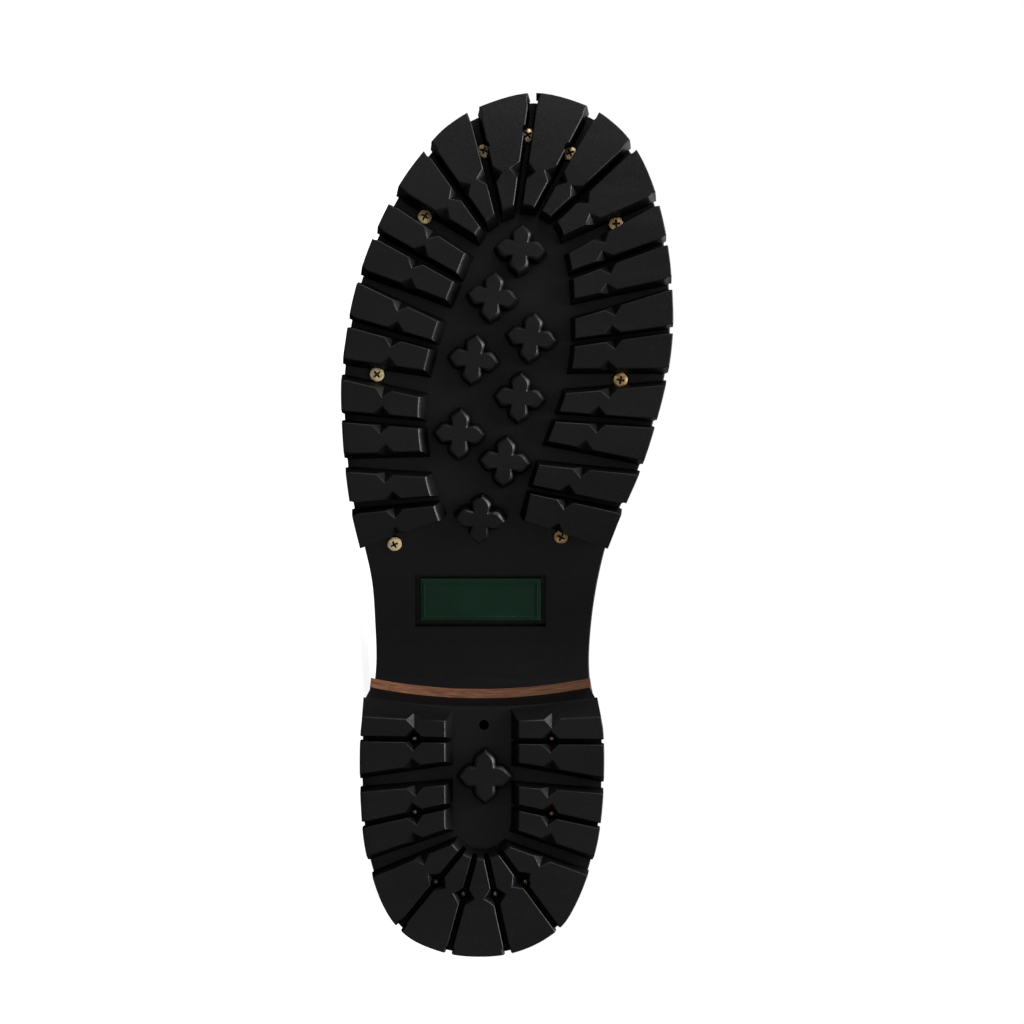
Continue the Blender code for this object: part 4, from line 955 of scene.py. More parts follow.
def leather_look(name, deep, plain, worn, grain_size, roughness, coat):
    """Oiled leather: pebbled grain, pores, and a pulled-up colour on the worn places, which on crease
    ridges and raised panel edges is partly painted highlight.
    """
    look = Look(name)
    pebbles = look.cells(grain_size, "SMOOTH_F1")
    pores = look.noise(grain_size * 1.6, 3.0, 0.6)
    clouds = look.noise(22.0, 5.0, 0.62)
    marks = look.noise(95.0, 4.0, 0.65)
    tone = look.ramp(clouds, (0.32, deep), (0.66, plain))
    tone = look.mix(look.span(marks, 0.0, 0.5, 0.55, 0.78), tone, worn)
    # Wear and painted highlight: the lighter worn colour on crease ridges and raised panel edges
    tone = look.mix(look.span(look.attribute("wear"), 0.0, 0.8), tone, worn)
    look.set(Base_Color=look.mix(look.span(pebbles, 0.0, 0.35, 0.35, 0.75), tone, deep),
             Roughness=look.span(look.sum(clouds, marks), roughness - 0.1, roughness + 0.14, 0.7, 1.3),
             Normal=look.bump(pebbles, 0.28, 0.0005, look.bump(pores, 0.2, 0.0003)))
    look.set(Coat_Weight=coat, Coat_Roughness=0.35)
    return look.material


def thread_look(name, dark, light):
    """Waxed thread with its twist."""
    look = Look(name)
    twist = look.noise(1400.0, 2.0, 0.5)
    look.set(Base_Color=look.ramp(twist, (0.3, dark), (0.7, light)), Roughness=0.6,
             Normal=look.bump(twist, 0.3, 0.0002))
    return look.material


def lace_look():
    """Round braid: two sets of strands that cross along the cord."""
    look = Look("lace_cord")
    wound = look.add("ShaderNodeUVMap", {}, uv_map="cord").outputs[0]

    def strands(turn):
        place = look.add("ShaderNodeMapping", {"Vector": wound, "Rotation": (0.0, 0.0, turn)}).outputs[0]
        wave = look.add("ShaderNodeTexWave", {"Vector": place, "Scale": 1.1}, wave_profile="SIN")
        return wave.outputs["Fac"]

    braid = look.sum(strands(math.radians(45.0)), strands(math.radians(-45.0)), "MAXIMUM")
    fuzz = look.noise(1500.0, 3.0, 0.6)
    tone = look.ramp(braid, (0.25, (0.012, 0.007, 0.004)), (0.9, (0.075, 0.042, 0.02)))
    look.set(Base_Color=look.mix(look.span(fuzz, 0.0, 0.4, 0.5, 0.8), tone, (0.11, 0.068, 0.034)),
             Roughness=0.78, Normal=look.bump(braid, 0.6, 0.0005, look.bump(fuzz, 0.25, 0.0002)))
    look.set(Sheen_Weight=0.15)
    return look.material


def make_finishes():
    """Every finish of the boot, by name."""
    return {
        "tread": rubber_look("tread_rubber", (0.001, 0.0009, 0.0009), (0.002, 0.0018, 0.0018), 0.38, 0.35),
        "panel": rubber_look("panel_rubber", (0.0028, 0.02, 0.0094), (0.0042, 0.03, 0.0145), 0.42, 0.26),
        "screw": brass_look("screw_brass", (1.0, 0.8, 0.46), (0.42, 0.21, 0.05), 0.2, 0.3),
        "nail": brass_look("nail_brass", (0.72, 0.53, 0.43), (0.38, 0.25, 0.19), 0.32),
        "eyelet": brass_look("eyelet_brass", (0.42, 0.29, 0.14), (0.16, 0.1, 0.045), 0.32),
        "lift": lift_look(),
        "welt": leather_look("welt_leather", (0.02, 0.011, 0.006), (0.052, 0.028, 0.014),
                             (0.105, 0.06, 0.032), 900.0, 0.55, 0.1),
        "upper": leather_look("upper_leather", (0.019, 0.0085, 0.0045), (0.05, 0.0225, 0.011),
                              (0.115, 0.056, 0.027), 780.0, 0.47, 0.18),
        "edge": leather_look("cut_edge", (0.012, 0.006, 0.004), (0.022, 0.011, 0.006),
                             (0.05, 0.026, 0.014), 1200.0, 0.6, 0.0),
        "lining": leather_look("lining_leather", (0.15, 0.085, 0.045), (0.27, 0.165, 0.09),
                               (0.36, 0.24, 0.14), 1100.0, 0.68, 0.0),
        "insole": leather_look("insole_leather", (0.17, 0.09, 0.045), (0.3, 0.18, 0.095),
                               (0.4, 0.26, 0.15), 1000.0, 0.62, 0.05),
        "thread": thread_look("upper_thread", (0.13, 0.08, 0.04), (0.3, 0.2, 0.11)),
        "welt_thread": thread_look("welt_thread", (0.3, 0.22, 0.13), (0.52, 0.41, 0.26)),
        "lace": lace_look(),
    }


# Repeats by nodes

def new_tree(name, sockets):
    """A node tree with named inputs, and its first and last nodes."""
    tree = bpy.data.node_groups.new(name, "GeometryNodeTree")
    for label, kind in sockets:
        tree.interface.new_socket(label, in_out="INPUT", socket_type=kind)
    tree.interface.new_socket("Geometry", in_out="OUTPUT", socket_type="NodeSocketGeometry")
    return tree, tree.nodes.new("NodeGroupInput"), tree.nodes.new("NodeGroupOutput")


def place_on_points(tree, start, end, shape):
    """Copies of a shape on points, each turned by the directions kept with its point."""
    def direction(name):
        kept = tree.nodes.new("GeometryNodeInputNamedAttribute")
        kept.data_type = "FLOAT_VECTOR"
        kept.inputs["Name"].default_value = name
        return kept.outputs["Attribute"]

    turn = tree.nodes.new("FunctionNodeAxesToRotation")
    turn.primary_axis, turn.secondary_axis = "Z", "X"
    points = tree.nodes.new("GeometryNodeMeshToPoints")
    copies = tree.nodes.new("GeometryNodeInstanceOnPoints")
    real = tree.nodes.new("GeometryNodeRealizeInstances")
    painted = tree.nodes.new("GeometryNodeSetMaterial")
    wires = (
        (direction("outward"), turn.inputs["Primary Axis"]),
        (direction("along"), turn.inputs["Secondary Axis"]),
        (start.outputs["Geometry"], points.inputs["Mesh"]),
        (points.outputs["Points"], copies.inputs["Points"]),
        (shape, copies.inputs["Instance"]),
        (turn.outputs["Rotation"], copies.inputs["Rotation"]),
        (copies.outputs["Instances"], real.inputs["Geometry"]),
        (real.outputs["Geometry"], painted.inputs["Geometry"]),
        (start.outputs["Finish"], painted.inputs["Material"]),
        (painted.outputs["Geometry"], end.inputs["Geometry"]),
    )
    for source, target in wires:
        tree.links.new(source, target)


def stitch_tree():
    """Round-ended stitches, with their length, width and height as inputs."""
    sockets = [("Geometry", "NodeSocketGeometry"), ("Finish", "NodeSocketMaterial"),
               ("Length", "NodeSocketFloat"), ("Width", "NodeSocketFloat"), ("Height", "NodeSocketFloat")]
    tree, start, end = new_tree("stitch_rows", sockets)
    ball = tree.nodes.new("GeometryNodeMeshUVSphere")
    ball.inputs["Segments"].default_value = 6
    ball.inputs["Rings"].default_value = 5
    ball.inputs["Radius"].default_value = 0.5
    size = tree.nodes.new("ShaderNodeCombineXYZ")
    for label, axis in (("Length", "X"), ("Width", "Y"), ("Height", "Z")):
        tree.links.new(start.outputs[label], size.inputs[axis])
    shaped = tree.nodes.new("GeometryNodeTransform")
    tree.links.new(ball.outputs["Mesh"], shaped.inputs["Geometry"])
    tree.links.new(size.outputs["Vector"], shaped.inputs["Scale"])
    smooth_faces = tree.nodes.new("GeometryNodeSetShadeSmooth")
    tree.links.new(shaped.outputs["Geometry"], smooth_faces.inputs["Geometry"])
    place_on_points(tree, start, end, smooth_faces.outputs["Geometry"])
    return tree


def fitting_tree():
    """Copies of one metal fitting."""
    sockets = [("Geometry", "NodeSocketGeometry"), ("Finish", "NodeSocketMaterial"),
               ("Fitting", "NodeSocketObject")]
    tree, start, end = new_tree("fitting_rows", sockets)
    kept = tree.nodes.new("GeometryNodeObjectInfo")
    tree.links.new(start.outputs["Fitting"], kept.inputs["Object"])
    place_on_points(tree, start, end, kept.outputs["Geometry"])
    return tree


def repeated(name, tree, seats, dull=(), **inputs):
    """One mesh of all the copies on their seats: a point, the way out and the way along."""
    mesh = bpy.data.meshes.new(name)
    mesh.from_pydata([tuple(point) for point, _, _ in seats], [], [])
    for label, index in (("outward", 1), ("along", 2)):
        kept = mesh.attributes.new(label, "FLOAT_VECTOR", "POINT")
        kept.data.foreach_set("vector", np.array([seat[index] for seat in seats], dtype=float).ravel())
    if dull:
        mesh.attributes.new("dull", "FLOAT", "POINT").data.foreach_set("value", dull)
    obj = bpy.data.objects.new(name, mesh)
    bpy.context.scene.collection.objects.link(obj)
    change = obj.modifiers.new("copies", "NODES")
    change.node_group = tree
    for item in tree.interface.items_tree:
        if item.in_out == "INPUT" and item.name in inputs:
            change[item.identifier] = inputs[item.name]
    apply_modifiers(obj)
    return obj


def stitch_rows(name, tree, seats, size, finish, slot):
    """Stitches on their seats, as one piece."""
    obj = repeated(name, tree, seats, Finish=finish, Length=size.length, Width=size.width,
                   Height=size.height)
    return put_on_boot(obj, slot, (), finish)


def fittings(name, tree, seats, fitting, finish, slot, nodes, dull=()):
    """Metal fittings on their seats, as one piece."""
    obj = repeated(name, tree, seats, dull, Finish=finish, Fitting=fitting)
    bpy.data.objects.remove(fitting)
    return put_on_boot(obj, slot, nodes, finish)


# Outsole

def notch_place(groove):
    """How far from its inner end a forefoot groove crosses the line of the notches."""
    inner, edge = np.array((groove.inner_a, groove.inner_b)), np.array((groove.edge_a, groove.edge_b))
    line = smooth(NOTCH_LINE)
    for start, end in zip(line, line[1:]):
        share, place = np.linalg.solve(np.stack([edge - inner, start - end], axis=1), start - inner)
        if 0.0 <= share <= 1.0 and 0.0 <= place <= 1.0:
            return share * np.linalg.norm(edge - inner)
    return NOTCH_AT_HEEL


def add_groove(bm, groove, floor, notch):
    """A cutter for one groove: a tapered bar with round rims and mouth, and a notch on both sides."""
    inner = Vector((groove.inner_a, groove.inner_b))
    along = Vector((groove.edge_a, groove.edge_b)) - inner
    length = along.length
    along.normalize()
    across = Vector((-along.y, along.x))
    taper = GROOVE_TAPER * (groove.inner_width + groove.edge_width) / 4
    places = [(-GROOVE_OVERRUN, 0.0), (notch - NOTCH_HALF, 0.0), (notch, 0.0), (notch + NOTCH_HALF, 0.0)]
    places += [(length + ahead, wider) for ahead, wider in GROOVE_MOUTH]

    def ring(height, rim):
        deep = NOTCH_DEPTH * min(max(1.0 - height / NOTCH_FALL, 0.0), 1.0)
        sides = []
        for place, wider in places:
            share = min(max(place / length, 0.0), 1.0)
            half = (groove.inner_width + (groove.edge_width - groove.inner_width) * share) / 2
            half += rim + wider - taper * max(height, 0.0) / floor + (deep if place == notch else 0.0)
            sides.append((inner + along * place, half))
        left = [middle + across * half for middle, half in sides]
        right = [middle - across * half for middle, half in reversed(sides)]
        return at_height(left + right, height)

    levels = [(-OVERRUN, RIMS[0].inset)] + [(rim.height + MERGE, rim.inset) for rim in RIMS]
    add_loft(bm, [ring(*level) for level in levels + [(NOTCH_FALL, 0.0), (floor + OVERRUN, 0.0)]])


def cut_grooves(lugs, grooves, floor, place):
    """Grooves cut in two turns, so that no two cutters of one turn meet."""
    for turn in (grooves[::2], grooves[1::2]):
        def fill(bm, turn=turn):
            for groove in turn:
                add_groove(bm, groove, floor, place(groove))

        combined(lugs, "DIFFERENCE", fill)


def add_edge_notch(bm, top, lean, along):
    """A cutter for a pointed notch in the plain edge of a lug, running out down a leaning wall."""
    along = Vector(along).normalized()
    across = Vector((-along.y, along.x))
    rings = []
    for height in (-OVERRUN, NOTCH_FALL):
        share = 1.0 - height / NOTCH_FALL
        middle = Vector(top) + Vector((lean * height, 0.0))
        half, depth = NOTCH_HALF * share + MERGE, NOTCH_DEPTH * share + MERGE
        corners = (along * half, across * depth, -along * half, -across * depth)
        rings.append(at_height([middle + corner for corner in corners], height))
    add_loft(bm, rings)


def star_ring(star, form, grow, level):
    """Outline of a four-armed leaf star, grown by a distance."""
    points = []
    tip, reach, wide, valley = (size + grow for size in form)
    for arm in range(4):
        turn = Matrix.Rotation(math.radians(star.turn + 90.0 * arm), 2)
        out = smooth([(valley, -valley), (reach, -wide), (tip, 0.0)], ARM_STEPS)
        back = smooth([(tip, 0.0), (reach, wide), (valley, valley)], ARM_STEPS)
        points += [turn @ Vector(p) + Vector((star.a, star.b)) for p in out[:-1] + back[:-1]]
    return at_height(points, level)


def star_lugs(stars, form, root):
    """Stars that stand on the floor of the tread."""
    bm = bmesh.new()
    for star in stars:
        levels = STAR_LEVELS + ((root, STAR_SKIRT),)
        add_loft(bm, [star_ring(star, form, grow, height) for height, grow in levels])
    return outward_object("stars", bm)


def lug_rings():
    """The band of lugs round the forefoot, before its grooves are cut."""
    rows = [row for row in PLATE_EDGE if row.station > LUG_START.station]
    outer = smooth(edge_points([LUG_START] + rows, TOE_TIP))
    inner = smooth(edge_points(LUG_INNER, LUG_INNER_TIP))
    steep = 1.0 - STEEPER * soft_step(np.array(inner)[:, 1], *STEEPER_SIDE)

    def level(row):
        rings = [grown(outer, LUG_REACH - row.inset), grown(inner, -row.draft * steep)[::-1]]
        for chain in rings:
            chain[[0, -1], 0] += row.inset
        return at_height(np.vstack(rings), row.height)

    return [level(row) for row in LUG_LEVELS]


def add_back_notches(bm):
    """Notches in the edges of the last forefoot lugs, towards the waist."""
    last = LUG_INNER[0]
    for b in BACK_NOTCHES:
        side, edge, end = (-1, LUG_START.outer, last.outer) if b < 0 else (1, LUG_START.inner, last.inner)
        start = Vector((LUG_START.station, side * (edge + LUG_REACH)))
        run = Vector((last.station, side * end)) - start
        add_edge_notch(bm, start + run * ((b - start.y) / run.y), 0.0, run)


def badge_rectangle(margin):
    """Corners of the panel in the waist, grown by a margin."""
    half_a = BADGE_SIZE[0] / 2 + margin
    half_b = BADGE_SIZE[1] / 2 + margin
    a, b = BADGE_CENTRE
    return [(a - half_a, b - half_b), (a + half_a, b - half_b),
            (a + half_a, b + half_b), (a - half_a, b + half_b)]


def make_outsole(finishes):
    """Plate, lugs, stars, screw seats and the pocket of the panel, as one solid."""
    lugs = lofted("lugs", lug_rings())

    def wells(bm):
        for screw in SCREWS:
            well = circle((screw.a, screw.b), screw.well, WELL_SIDES)
            seat = circle((screw.a, screw.b), SCREW_RADIUS + GAP, WELL_SIDES)
            add_loft(bm, [at_height(well, -OVERRUN), at_height(well, SCREW_FACE - GAP),
                          at_height(seat, SCREW_FACE - GAP), at_height(seat, SCREW_FACE + SCREW_LENGTH)])

    def sunk(bm):
        wells(bm)
        pocket = badge_rectangle(BADGE_MARGIN)
        add_loft(bm, [at_height(pocket, LUG - OVERRUN), at_height(pocket, LUG + BADGE_DEPTH)])

    combined(lugs, "DIFFERENCE", wells)
    combined(lugs, "DIFFERENCE", add_back_notches)
    cut_grooves(lugs, FOREFOOT_GROOVES, LUG, notch_place)

    plate = ((PLATE_RIM, LUG), (0.0, LUG + PLATE_RIM), (0.0, PLATE_TOP - PLATE_RIM), (PLATE_RIM, PLATE_TOP))
    rings = [at_height(plate_outline(inset), height) for inset, height in plate]
    outsole = lofted("outsole_rubber", rings)
    combined(outsole, "DIFFERENCE", sunk)
    join_to(outsole, lugs)
    join_to(outsole, star_lugs(FOREFOOT_STARS, FOREFOOT_STAR, LUG + LUG_ROOT))
    bend_object(outsole)
    even_shading(outsole)
    return put_on_boot(outsole, "tread_rubber", ["outsole"], finishes["tread"])


def make_panel(finishes):
    """The bare green panel in its pocket, with a raised line inside its edge."""
    line_from, line_to, line_rise, line_slope, rim = 1.0, 1.7, 0.25, 0.15, 0.3
    face, back = LUG + BADGE_SINK, LUG + BADGE_DEPTH - GAP
    levels = ((0.0, back), (0.0, face + rim), (-rim, face), (-line_from, face),
              (-line_from - line_slope, face - line_rise), (-line_to + line_slope, face - line_rise),
              (-line_to, face))
    panel = lofted("green_panel", [at_height(badge_rectangle(margin), height) for margin, height in levels])
    bend_object(panel)
    even_shading(panel)
    return put_on_boot(panel, "panel_rubber", ["badge"], finishes["panel"])


def turned(name, profile, sides, closed_ends=True):
    """A turned fitting from its radius and height at each point of its profile."""
    rings = [at_height(circle((0.0, 0.0), radius, sides), height) for radius, height in profile]
    return lofted(name, rings, closed_ends)


def make_screws(finishes, tree):
    """Brass screws with a cross in each head, square to the bent sole."""
    head = turned("screw", SCREW_PROFILE, SCREW_SIDES)

    def cross(tool):
        def ring(shrink, height):
            reach, half = CROSS_REACH - shrink, CROSS_HALF - shrink * CROSS_THINNING
            points = []
            for arm in range(4):
                turn = Matrix.Rotation(math.radians(90.0 * arm), 2)
                points += [turn @ Vector(p) for p in ((half, -half), (reach, -half), (reach, half))]
            return at_height(points, height)

        add_loft(tool, [ring(CROSS_TAPER, -CROSS_DEPTH), ring(0.0, OVERRUN)])

    combined(head, "DIFFERENCE", cross)
    even_shading(head)
    dirt = head.data.attributes.new("dirt", "FLOAT", "FACE")
    for face, kept in zip(head.data.polygons, dirt.data):
        in_cross = math.hypot(face.center.x, face.center.y) < CROSS_REACH and face.center.z < CROSS_RIM
        kept.value = 1.0 if in_cross else 0.0
    seats = []
    for number, screw in enumerate(SCREWS, start=1):
        outward = tread_outward(screw.a)
        spin = Matrix.Rotation(SCREW_STEP * number, 3, outward)
        seats.append((bend((screw.a, screw.b, SCREW_FACE)), outward, spin @ Vector((0.0, 1.0, 0.0))))
    nodes = [f"screw_{number}" for number in range(1, len(SCREWS) + 1)]
    dull = [screw.dull for screw in SCREWS]
    return fittings("screws", tree, seats, head, finishes["screw"], "screw_brass", nodes, dull)


# Heel

def heel_outline(corner, inset=0.0):
    """Heel outline at one level, drawn in by an inset, from the outer corner round to the inner."""
    inner = [(row.station, row.inner) for row in HEEL_EDGE] + [(corner.station, corner.inner)]
    outer = [(row.station, -row.outer) for row in HEEL_EDGE] + [(corner.station, -corner.outer)]
    return list(grown(smooth(inner[::-1] + outer), -inset)[::-1])


def breast_arc(corner):
    """Points between the two corners of the breast, inner side to outer side."""
    arc = []
    for step in range(1, BREAST_STEPS):
        share = step / BREAST_STEPS
        b = corner.inner - (corner.inner + corner.outer) * share
        arc.append((corner.middle + (corner.station - corner.middle) * (2 * share - 1) ** 2, b))
    return arc


def heel_rings():
    """The heel's lugs before their grooves are cut: a horseshoe open to the breast."""
    def level(row):
        share = row.height / CHANNEL_LEVELS[-1].height
        corner = Corner(*(np.array(TREAD_CORNER) * (1.0 - share) + np.array(ROOT_CORNER) * share))
        front = corner.middle - LUG_FRONT_SETBACK - row.inset
        end = [(row.back - row.half * math.sin(t), row.half * math.cos(t))
               for t in np.linspace(0.0, math.pi, CHANNEL_END_POINTS)]
        outline = heel_outline(corner._replace(station=corner.station - row.inset), row.inset)
        return at_height(outline + [(front, row.half)] + end + [(front, -row.half)], row.height)

    return [level(row) for row in CHANNEL_LEVELS]


def make_heel(finishes):
    """Heel block with its lugs, star and nail holes."""
    lugs = lofted("heel_lugs", heel_rings())

    def holes(bm):
        for place in HEEL_NAILS + (PLAIN_HOLE,):
            sizes = [(HOLE_RADIUS, -OVERRUN), (HOLE_RADIUS, HOLE_END)]
            if place == PLAIN_HOLE:
                sizes.append((HOLE_POINT, HOLE_END + HOLE_CONE))
            add_loft(bm, [at_height(circle(place, radius, HOLE_SIDES), height) for radius, height in sizes])

    def front_notches(bm):
        for _, b in HEEL_NAILS[:2]:
            add_edge_notch(bm, (FRONT_EDGE, b), FRONT_LEAN, (0.0, 1.0))

    combined(lugs, "DIFFERENCE", holes)
    combined(lugs, "DIFFERENCE", front_notches)
    cut_grooves(lugs, HEEL_GROOVES, HEEL_LUG, lambda groove: NOTCH_AT_HEEL)

    root = heel_outline(ROOT_CORNER, BLOCK_ROOT_INSET) + breast_arc(ROOT_CORNER)
    top = heel_outline(TOP_CORNER, BLOCK_TOP_INSET) + breast_arc(TOP_CORNER)
    drop = LIFT + 2 * GAP
    seat = [(a, b, seat_level(a, drop)) for a, b in top]
    heel = lofted("heel_rubber", [at_height(root, HEEL_LUG), seat])
    combined(heel, "DIFFERENCE", holes)
    join_to(heel, lugs)
    join_to(heel, star_lugs((HEEL_STAR,), HEEL_STAR_FORM, HEEL_LUG + LUG_ROOT))
    even_shading(heel)
    return put_on_boot(heel, "tread_rubber", ["heel"], finishes["tread"])


def make_nails(finishes, tree):
    """Nail heads at the bottom of their holes."""
    head = turned("nail", NAIL_PROFILE, NAIL_SIDES)
    even_shading(head)
    seats = [(Vector((a, b, NAIL_DEPTH)), Vector((0.0, 0.0, -1.0)), Vector((1.0, 0.0, 0.0)))
             for a, b in HEEL_NAILS]
    nodes = [f"heel_nail_{number}" for number in range(1, len(seats) + 1)]
    return fittings("heel_nails", tree, seats, head, finishes["nail"], "nail_brass", nodes)


def make_heel_lift(finishes):
    """The leather lift over the heel block, with a bevelled front edge that shows."""
    def ring(share, inset):
        station, middle = (place + LIFT_BEVEL * share for place in (TOP_CORNER.station, TOP_CORNER.middle))
        corner = TOP_CORNER._replace(station=station, middle=middle)
        outline = heel_outline(corner, LIFT_INSET + inset) + breast_arc(corner)
        return [(a, b, seat_level(a, GAP + LIFT * (1.0 - share))) for a, b in outline]

    lift = lofted("heel_lift_leather", [ring(share, inset) for share, inset in LIFT_LEVELS])
    even_shading(lift)
    return put_on_boot(lift, "lift_leather", ["heel_lift"], finishes["lift"])


# Welt and insole

def make_welt(finishes):
    """A leather strip on the outsole, all round the foot of the upper."""
    rings = [at_height(plate_outline(WELT_INSET + inset), height) for inset, height in WELT_EDGE]
    rings += [at_height(feather_outline(WELT_TOP_CLEAR, WELT_TOP_TOE_CLEAR), WELT_TOP),
              at_height(feather_outline(WELT_FOOT_CLEAR, WELT_FOOT_TOE_CLEAR), FEATHER_HEIGHT)]
    welt = lofted("welt_leather", [[bend(point) for point in ring] for ring in rings], closed_ends=False)
    even_shading(welt)
    return put_on_boot(welt, "welt_leather", ["welt"], finishes["welt"])


def welt_seats():
    """Stitches along the top of the welt."""
    line = plate_outline(WELT_INSET + WELT_SEAM)
    path = [bend((a, b, WELT_TOP + WELT_STITCH_RISE)) for a, b in line]
    ups = [-tread_outward(a) for a, _ in line]
    return seats_along(path + path[:1], ups + ups[:1], WELT_STITCH.pitch)


def make_insole(finishes):
    """The footbed inside the upper, on the outsole."""
    outline = feather_outline(-WALL - INSOLE_SIDE)
    inner = feather_outline(-WALL - INSOLE_SIDE - INSOLE_RIM)
    high = FEATHER_HEIGHT + INSOLE
    insole = lofted("footbed", [at_height(outline, FEATHER_HEIGHT), at_height(outline, high - INSOLE_RIM),
                                at_height(inner, high)])
    bend_object(insole)
    even_shading(insole)
    return put_on_boot(insole, "insole_leather", ["insole"], finishes["insole"])


# Upper

Section = namedtuple("Section", "base top ridge outer inner outer_half inner_half power throat")


def foot_values(row):
    """Values of a section whose ends stand on the feather line."""
    outer, inner = feather_half(row.feather)
    base = bend((row.feather, 0.0, UPPER_FOOT))
    outer, inner = max(row.ridge - outer, 0.0), max(inner - row.ridge, 0.0)
    return np.array([base.x, base.z, row.top_a, row.top_c, row.ridge, outer, inner,
                     max(outer + row.bulge, row.least), max(inner + row.bulge, row.least),
                     row.power, max(row.throat, 0.0)])


def shaft_values(row):
    """Values of a section whose ends meet on the back seam."""
    return np.array([row.back_a, row.back_c, row.front_a, row.front_c, 0.0, 0.0, 0.0,
                     row.half, row.half, row.power, row.throat])


def between(rows, place):
    """Values on a soft curve through the rows, at any place from the first row to the last."""
    index = min(int(place), len(rows) - 2)
    t = place - index
    start, end = rows[index], rows[index + 1]
    before = rows[index - 1] if index else 2 * start - end
    after = rows[index + 2] if index + 2 < len(rows) else 2 * end - start
    return soft_between(before, start, end, after, t)


@lru_cache(maxsize=None)
def kept_section(place):
    """The section at a row, worked out once for each."""
    if place <= LAST_FOOT:
        rows = [np.array(row) for row in FOOT_SECTIONS]
        values = foot_values(Foot(*between(rows, place)))
    else:
        rows = [foot_values(row) for row in FOOT_SECTIONS[-2:]]
        rows += [shaft_values(row) for row in SHAFT_SECTIONS]
        values = between(rows, place - LAST_FOOT + 1)
        values[5:7] = np.maximum(values[5:7], 0.0)
    base, top = Vector((values[0], 0.0, values[1])), Vector((values[2], 0.0, values[3]))
    return Section(base, top, *values[4:])


def section_at(place):
    """The section at any row, toe first, then up the back seam to the collar, or between rows."""
    return kept_section(round(place, 5))


def angle_for(half, breadth, power):
    """Section angle, from the bottom, at which the wall is that far from the ridge."""
    share = min(max(breadth / half, 0.0), 1.0)
    return math.asin(share ** (1.0 / power))


def half_and_foot(section, side):
    """Half width of a section and half width at its foot, on one side."""
    if side < 0:
        return section.outer_half, section.outer
    return section.inner_half, section.inner


def wall_point(section, side, angle):
    """A point of the outer wall: side -1 is the outer side of the foot, +1 the inner side."""
    half, foot = half_and_foot(section, side)
    start = angle_for(half, foot, section.power)
    rise = (math.cos(start) - math.cos(angle)) / (math.cos(start) + 1.0)
    point = section.base.lerp(section.top, rise)
    breadth = half * max(math.sin(angle), 0.0) ** section.power
    return Vector((point.x, section.ridge + side * breadth, point.z))


def surface(place, share, side):
    """A point of the wall by its row and its share of the way from the feather to the throat."""
    section = section_at(place)
    half, foot = half_and_foot(section, side)
    first = angle_for(half, foot, section.power)
    last = math.pi - angle_for(half, section.throat, section.power)
    return wall_point(section, side, first + (last - first) * share)


def near_ridge(place, offset, depth=0.0):
    """A point by its distance across from the ridge, sunk below the wall by a depth."""
    def at(row, across):
        section = section_at(row)
        side = -1 if across < 0 else 1
        half, _ = half_and_foot(section, side)
        return wall_point(section, side, math.pi - angle_for(half, abs(across), section.power))

    step, reach = 0.05, 0.5
    along = at(min(place + step, TONGUE_TOP_ROW), offset) - at(place - step, offset)
    across = at(place, offset + reach) - at(place, offset - reach)
    outward = across.cross(along).normalized()
    return at(place, offset) - outward * depth, outward


def seam_row(share):
    """Row of the vamp seam, from the feather to the throat."""
    return VAMP_AT_THROAT + (VAMP_AT_FEATHER - VAMP_AT_THROAT) * (1.0 - share) ** VAMP_CURVE


def even_places(first, last, spacing):
    """Rows an even distance apart along the side of the boot."""
    fine = np.linspace(first, last, 500)
    line = [surface(place, 0.5, 1) for place in fine]
    run = running_length(line)
    count = max(2, round(run[-1] / spacing))
    return np.interp(np.linspace(0.0, run[-1], count + 1), run, fine)


def wall_rows():
    """Rows of the upper as functions of the share, with one row just on each side of the vamp seam."""
    middle = seam_row(0.5)
    vamp = [place / middle for place in even_places(0.0, middle, ROW_STEP)][:-1]
    upward = even_places(middle, COLLAR_ROW, ROW_STEP)
    quarter = [(place - middle) / (COLLAR_ROW - middle) for place in upward]
    rows = [lambda share, q=q: q * seam_row(share) for q in vamp]
    rows.append(lambda share: seam_row(share) - VAMP_EDGE)
    rows += [lambda share, q=q: seam_row(share) + q * (COLLAR_ROW - seam_row(share)) for q in quarter]
    return rows


def toe_front(side, shares):
    """Rows that close the front of the toe, from the feather line up to the first section."""
    line = feather_outline()
    front = line[line[:, 0] > FOOT_SECTIONS[0].feather - TOE_FRONT]
    front = front[np.argsort(front[:, 1])]
    top = [surface(0.0, share, side) for share in shares]
    feet = [bend((float(np.interp(p.y, front[:, 1], front[:, 0])), p.y, UPPER_FOOT)) for p in top]
    feet[0] = top[0]
    rows = []
    for step in np.linspace(0.0, 1.0, TOE_ROWS + 1)[:-1]:
        swell = Vector((TOE_BULGE * 4.0 * step * (1.0 - step), 0.0, 0.0))
        rows.append([foot.lerp(high, step) + swell for foot, high in zip(feet, top)])
    return rows


def line_distance(points, line):
    """Distance of each point from a line, and how far along it the nearest place is, from 0 to 1."""
    nearest = np.full(len(points), np.inf)
    along = np.zeros(len(points))
    for index, (start, end) in enumerate(zip(line, line[1:])):
        run = end - start
        t = np.clip(((points - start) @ run) / (run @ run), 0.0, 1.0)
        gap = np.linalg.norm(points - start - t[:, None] * run, axis=1)
        closer = gap < nearest
        nearest[closer] = gap[closer]
        along[closer] = (index + t[closer]) / (len(line) - 1)
    return nearest, along


def all_creases():
    """Every crease, with those of the sides on both sides, a little apart."""
    creases = list(VAMP_CREASES)
    for crease in SIDE_CREASES:
        for side, shift in ((1, 0.0), (-1, SIDE_SHIFT)):
            line = tuple((a + shift, side * b, c + shift) for a, b, c in crease.line)
            creases.append(crease._replace(line=line))
    return creases


